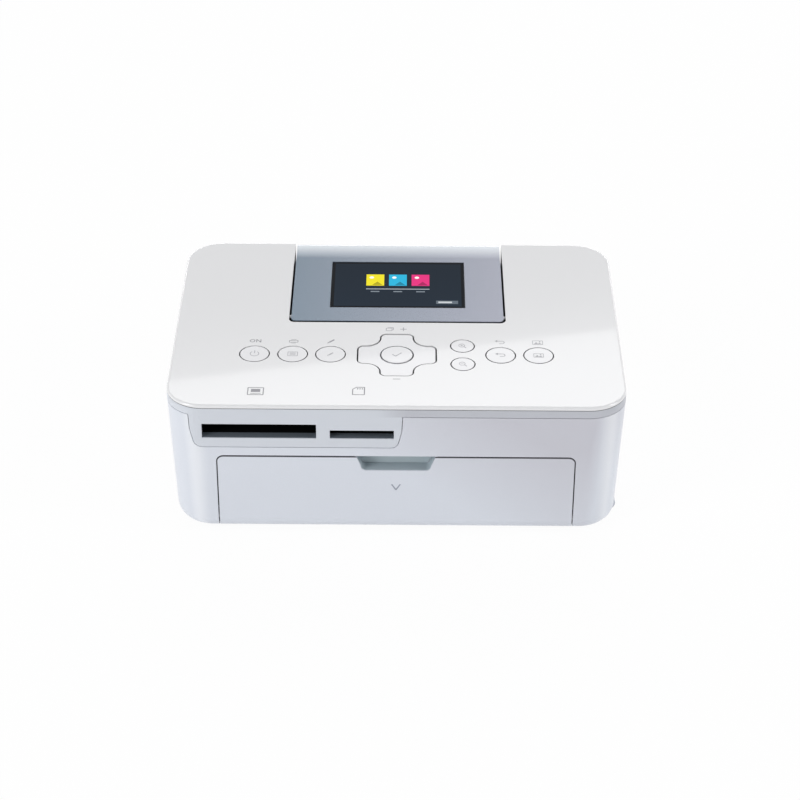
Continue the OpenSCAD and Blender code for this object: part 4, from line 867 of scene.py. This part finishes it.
def dress_case():
    def plate_rim(m):
        if not near(m.z, PLATE_TOP):
            return False
        past_x = max(0, abs(m.x) - (HALF_WIDTH - CORNER_ROUND))
        past_y = max(0, abs(m.y) - (-FRONT_Y - CORNER_ROUND))
        if past_x and past_y:
            return near(math.hypot(past_x, past_y), CORNER_ROUND, 0.3)
        return near(max(past_x, past_y), CORNER_ROUND, 0.1)

    def plate_inner(m):
        return near(m.z, PLATE_TOP) and not plate_rim(m)

    def recess_corner(m):
        return near(abs(m.x), RECESS_HALF, 0.1) and near(m.y, RECESS_FRONT_Y, 0.1)

    dressed_copy("top_plate", "cover_plate", HOUSING, "cover",
                 [(recess_corner, 2.3, 5), (plate_rim, 1.0, 5), (plate_inner, 0.14, 2)])
    dressed_copy("upper_frame", "band_frame", HOUSING, "band",
                 [(lambda m: m.y < -61.6 and m.z < 55.8, 0.22, 2)])
    dressed_copy("lower_housing", "case_shell", HOUSING, "case",
                 [(lambda m: m.y < -62.5 and m.z > 6, 0.18, 2)])
    dressed_copy("front_door", "paper_door", "front_door_body", "door_case",
                 [(lambda m: m.y < -63.4 or (m.y < -57 and abs(m.x) < 18), 0.22, 3)])
    dressed_copy("ink_door", "side_door", "ink_door_body", "case",
                 [(lambda m: m.x > 82, 0.3, 2)])
    dressed_copy("paper_bay", "paper_bay_duct", HOUSING, "lining", [])


def dress_screen():
    def window(m):
        return abs(m.x) < 28 and near(m.z, PLATE_TOP)

    def outer(m):
        return m.z > 56 and (abs(m.x) > LCD_HALF - 0.1 or m.y < 0) and not window(m)

    def front_corner(m):
        return near(abs(m.x), LCD_HALF, 0.06) and near(m.y, LCD_FRONT_Y, 0.06)

    dressed_copy("lcd_bezel", "screen_frame", "screen", "silver",
                 [(front_corner, 1.6, 4), (window, 0.2, 2), (outer, 0.45, 4)])
    dressed_copy("lcd_glass", "screen_window", "screen", "screen",
                 [(lambda m: m.z > 60.2, 0.12, 2)])


def dress_keys():
    def pad_edge(m):
        return m.z > 60.2 and Vector((m.x, m.y - KEY_ROW_Y)).length > 8

    for node in ("power_button", "menu_button", "edit_button", "zoom_in_button", "zoom_out_button",
                 "back_button", "print_button", "ok_button"):
        dressed_copy(node, node.replace("button", "key"), node + "_body",
                     "ok_key" if node == "ok_button" else "key", [(lambda m: m.z > 60.1, 0.12, 2)])
    dressed_copy("dpad", "cross_pad", "pad", "pad", [(pad_edge, 0.5, 4)])
    row = KEY_ROW_Y

    # prints start just under the surface that they lie on
    top = PLATE_TOP - 0.005
    marks = [("power", row, power_mark, (1.0,)), ("menu", row, list_mark, (0.9,)),
             ("edit", row, pencil_mark, (0.9,)), ("zoom_in", row + ZOOM_STEP, lens_mark, (True, 0.95)),
             ("zoom_out", row - ZOOM_STEP, lens_mark, (False, 0.95)), ("back", row, return_mark, (0.95,)),
             ("print", row, picture_mark, (0.9,)), ("ok", row, tick_mark, (1.1,))]
    for name, y, draw, sizes in marks:
        flat_mark(name + "_mark", name + "_button_body", KEY_X[name], y, top, draw, "pale_ink", *sizes)

    # a grey ring down in the gap round the OK key: painted shade of the gap
    def gap_ring(bm):
        outer = arc_points((0, row), 6.73, 0, 350, 35)
        inner = arc_points((0, row), 6.62, 350, 0, 35)
        prism(bm, outer + inner, lambda u, v: Vector((u, v, PLATE_TOP - 1.0)), (0, 0, 0.6))

    mesh_piece("ok_gap_ring", "pad", "band", gap_ring)
    label_row = row + 9.6
    labels = [("on_label", "power", on_mark, "ink", 1.15), ("menu_label", "menu", tray_mark, "ink", 1.0),
              ("edit_label", "edit", pencil_mark, "ink", 1.1),
              ("back_label", "back", return_mark, "pale_ink", 0.95),
              ("print_label", "print", picture_mark, "pale_ink", 0.95)]
    for name, key, draw, ink, size in labels:
        flat_mark(name, HOUSING, KEY_X[key], label_row, top, draw, ink, size)
    flat_mark("copies_label", HOUSING, 0, row + 19.2, top, copies_mark, "pale_ink", 1.3)
    flat_mark("fewer_label", HOUSING, 0, row - 18.0, top, minus_mark, "ink")
    flat_mark("large_card_mark", HOUSING, -54.3, -53.2, top, card_mark, "ink", False, 1.2)
    flat_mark("small_card_mark", HOUSING, -14.6, -52.6, top, card_mark, "ink", True, 1.2)


def dress_door():
    """The arrow, grey sheets in the finger notch that stand for its shade, and a dark sheet in the gap
    round the door that stands for the gap's shade: painted shade.
    """
    arrow = Print((0, FRONT_Y + 0.01, 22.5), (1, 0, 0), (0, 0, 1), 0.02)
    arrow.path([(-1.7, 1.8), (0, -0.8), (1.7, 1.8)], 0.55)
    mesh_piece("door_arrow", "front_door_body", "case_ink", arrow.fill_mesh)

    def notch_back(bm):
        edge = [(NOTCH_HALF - 0.35, DOOR_TOP - 0.6), (NOTCH_HALF - 2.1, NOTCH_FOOT + 2.2),
                (NOTCH_HALF - 2.6, NOTCH_FOOT + 0.7), (NOTCH_HALF - 3.8, NOTCH_FOOT + 0.15)]
        outline = edge + [(-x, z) for x, z in reversed(edge)]
        upright(bm, outline, NOTCH_BACK_Y - 0.02, -0.12)

    def notch_rim(bm):
        rings = []
        for inset in (0.03, 0.13):
            half = NOTCH_HALF - inset
            corner = arc_points((half - 3.75 + inset, NOTCH_FOOT + 2), 2 - inset, 0, -90)
            line = [(half - 0.25, DOOR_TOP - 0.5), (half - 1.75, NOTCH_FOOT + 2.1)] + corner[1:]
            rings.append(line + [(-x, z) for x, z in reversed(line)])
        outline = rings[0] + rings[1][::-1]
        upright(bm, outline, FRONT_Y + 0.4, NOTCH_BACK_Y - FRONT_Y - 0.6)

    # grey sheets in the finger notch, standing for its shade: painted shade
    mesh_piece("notch_back_painted_shade", "front_door_body", "deep", notch_back)
    mesh_piece("notch_rim_painted_shade", "front_door_body", "recess", notch_rim)

    # a dark sheet in the gap round the door, standing for the gap's shade: painted shade
    def gap_shade_sheet(bm):
        for side in (-1, 1):
            centre = (DOOR_HALF - DOOR_ROUND, DOOR_TOP - DOOR_ROUND)
            outer, inner = [], []
            for grow, line in ((0.29, outer), (0.06, inner)):
                line.append((DOOR_HALF + grow, 13.5))
                line += arc_points(centre, DOOR_ROUND + grow, 0, 90)
                line.append((NOTCH_HALF + 0.7, DOOR_TOP + grow))
            outline = [(side * x, z) for x, z in outer + inner[::-1]]
            upright(bm, outline, FRONT_Y + 0.2, 1.3)

    mesh_piece("door_gap_painted_shade", HOUSING, "gap", gap_shade_sheet)


def dress_card_slots():
    """Grey ledges on the floor of the two card slots."""
    clearance = 0.12
    thickness = 0.12

    def ledges(bm):
        for middle, width in (LARGE_SLOT, SMALL_SLOT):
            half = width / 2 - clearance
            block(bm, (middle - half, middle + half), (FRONT_Y + 0.35, FRONT_Y + 3.7),
                  (SLOT_FLOOR, SLOT_FLOOR + thickness))

    mesh_piece("card_slot_ledges", HOUSING, "ledge", ledges)


def four_corners(place, z):
    """The same place in the four corners of the floor."""
    return [(sx * place[0], sy * place[1], z) for sx in (-1, 1) for sy in (-1, 1)]


def dress_repeats():
    """Screws, feet, ribs of the paper bay and pins of the large card socket."""
    pins_in_row, pin_pitch = 25, 1.27
    first_pin = LARGE_SLOT[0] - pins_in_row // 2 * pin_pitch
    screws = grown("case_screw_set", screw_tree(), HOUSING, "steel",
                   four_corners(SCREW_PLACE, 2.7))
    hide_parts("case_screws")
    feet = grown("foot_set", foot_tree(), HOUSING, "rubber", four_corners(FOOT_PLACE, 0))
    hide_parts("rubber_feet")
    ribs = rib_tree("bay_ribs", "lining")
    grown("bay_floor_ribs", ribs, HOUSING, "lining",
          [(x, -36, 9.35) for x in range(-50, 51, 10)], {"Rib Size": (0.0008, 0.034, 0.0004)})
    pins = rib_tree("card_pins", "brass")
    grown("large_card_pins", pins, HOUSING, "brass",
          [(first_pin + i * pin_pitch, -31.0, 48.3) for i in range(pins_in_row)],
          {"Rib Size": (0.00055, 0.0036, 0.00055)})


def paint_plain_nodes():
    for material, nodes in PLAIN_NODES.items():
        for node in nodes:
            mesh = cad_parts[node].data
            mesh.materials.clear()
            mesh.materials.append(MATERIALS[material])


# ---------------------------------------------------------------- studio

def place_camera():
    """The camera fitted to the photograph: lens, stand point and turn."""
    data = bpy.data.cameras.new("camera")
    data.sensor_width = 36
    data.lens = 104.68
    data.clip_end = 20
    stand = (0.0040233, -0.8054166, 0.5480476)
    camera = bpy.data.objects.new("camera", data)
    bpy.context.scene.collection.objects.link(camera)
    forward = Vector((-0.00290971, 0.83730028, -0.54673556)).normalized()
    right = Vector((0.99997258, 0.00615921, 0.00411073)).normalized()
    up = right.cross(forward).normalized()
    turn = Matrix((right, up, -forward)).transposed().to_4x4()
    camera.matrix_world = Matrix.Translation(stand) @ turn
    bpy.context.scene.camera = camera


def soft_panel(name, place, target, size, radiance, roll=0.0):
    """An area light whose surface has the given brightness, aimed at a point and rolled in degrees."""
    data = bpy.data.lights.new(name, "AREA")
    data.shape = "RECTANGLE"
    data.size, data.size_y = size
    data.energy = radiance * math.pi * size[0] * size[1]
    lamp = bpy.data.objects.new(name, data)
    bpy.context.scene.collection.objects.link(lamp)
    aim = (Vector(target) - Vector(place)).to_track_quat("-Z", "Y").to_matrix().to_4x4()
    lamp.matrix_world = Matrix.Translation(place) @ aim @ Matrix.Rotation(math.radians(roll), 4, "Z")


def seen_white(tree, shader, white, share):
    """Shows white to the camera, to gloss and through glass, and the shader to everything else."""
    path = tree.nodes.new("ShaderNodeLightPath")
    seen = path.outputs["Is Camera Ray"]
    for ray in ("Is Glossy Ray", "Is Transmission Ray"):
        most = tree.nodes.new("ShaderNodeMath")
        most.operation = "MAXIMUM"
        tree.links.new(seen, most.inputs[0])
        tree.links.new(path.outputs[ray], most.inputs[1])
        seen = most.outputs[0]
    weight = tree.nodes.new("ShaderNodeMath")
    weight.operation = "MULTIPLY"
    tree.links.new(seen, weight.inputs[0])
    weight.inputs[1].default_value = share
    mix = tree.nodes.new("ShaderNodeMixShader")
    tree.links.new(weight.outputs[0], mix.inputs[0])
    tree.links.new(shader, mix.inputs[1])
    tree.links.new(white, mix.inputs[2])
    return mix.outputs[0]


def light_world():
    """Soft light from all round, seen as plain white."""
    world = bpy.data.worlds.new("studio")
    bpy.context.scene.world = world
    world.use_nodes = True
    tree = world.node_tree
    fill = tree.nodes["Background"]
    fill.inputs[0].default_value = (0.97, 0.98, 1.0, 1)
    fill.inputs[1].default_value = 0.4
    white = tree.nodes.new("ShaderNodeBackground")
    white.inputs[0].default_value = (1, 1, 1, 1)
    white.inputs[1].default_value = 1.0
    out = tree.nodes["World Output"]
    tree.links.new(seen_white(tree, fill.outputs[0], white.outputs[0], 1.0), out.inputs[0])


def lay_floor():
    """A floor that is seen as white and still takes the shadow."""
    mesh = bpy.data.meshes.new("floor")
    mesh.from_pydata([(-6, -6, 0), (6, -6, 0), (6, 6, 0), (-6, 6, 0)], [], [(0, 1, 2, 3)])
    floor = bpy.data.objects.new("floor", mesh)
    bpy.context.scene.collection.objects.link(floor)
    paint = bpy.data.materials.new("floor_white")
    paint.use_nodes = True
    surface = paint.node_tree.nodes["Principled BSDF"]
    surface.inputs["Base Color"].default_value = (0.97, 0.97, 0.97, 1)
    surface.inputs["Roughness"].default_value = 0.9
    glow = paint.node_tree.nodes.new("ShaderNodeEmission")
    glow.inputs[0].default_value = (1, 1, 1, 1)
    ground = paint.node_tree.nodes["Material Output"]
    shown = seen_white(paint.node_tree, surface.outputs[0], glow.outputs[0], 0.955)
    paint.node_tree.links.new(shown, ground.inputs[0])
    mesh.materials.append(paint)


def hang_lamps():
    """The lower edge of the rear panel is the slanting line that the glossy cover reflects."""
    soft_panel("rear_panel", (0.086, 2.0, 1.92), (0.086, 1.0, 1.92), (3.0, 1.2), 2.1, roll=8.2)
    soft_panel("rear_strip", (0.0, 2.0, 0.42), (0, 1.0, 0.42), (2.4, 0.4), 4.0)
    soft_panel("left_strip", (-1.34, -1.04, 0.75), (0, 0, 0.03), (0.6, 1.4), 6.1)
    soft_panel("right_strip", (1.64, -0.42, 0.7), (0, 0, 0.03), (0.5, 1.4), 5.4)


dress_case()
dress_screen()
dress_keys()
dress_door()
dress_card_slots()
dress_repeats()
paint_plain_nodes()
place_camera()
light_world()
lay_floor()
hang_lamps()
bpy.context.scene.view_settings.view_transform = "Standard"
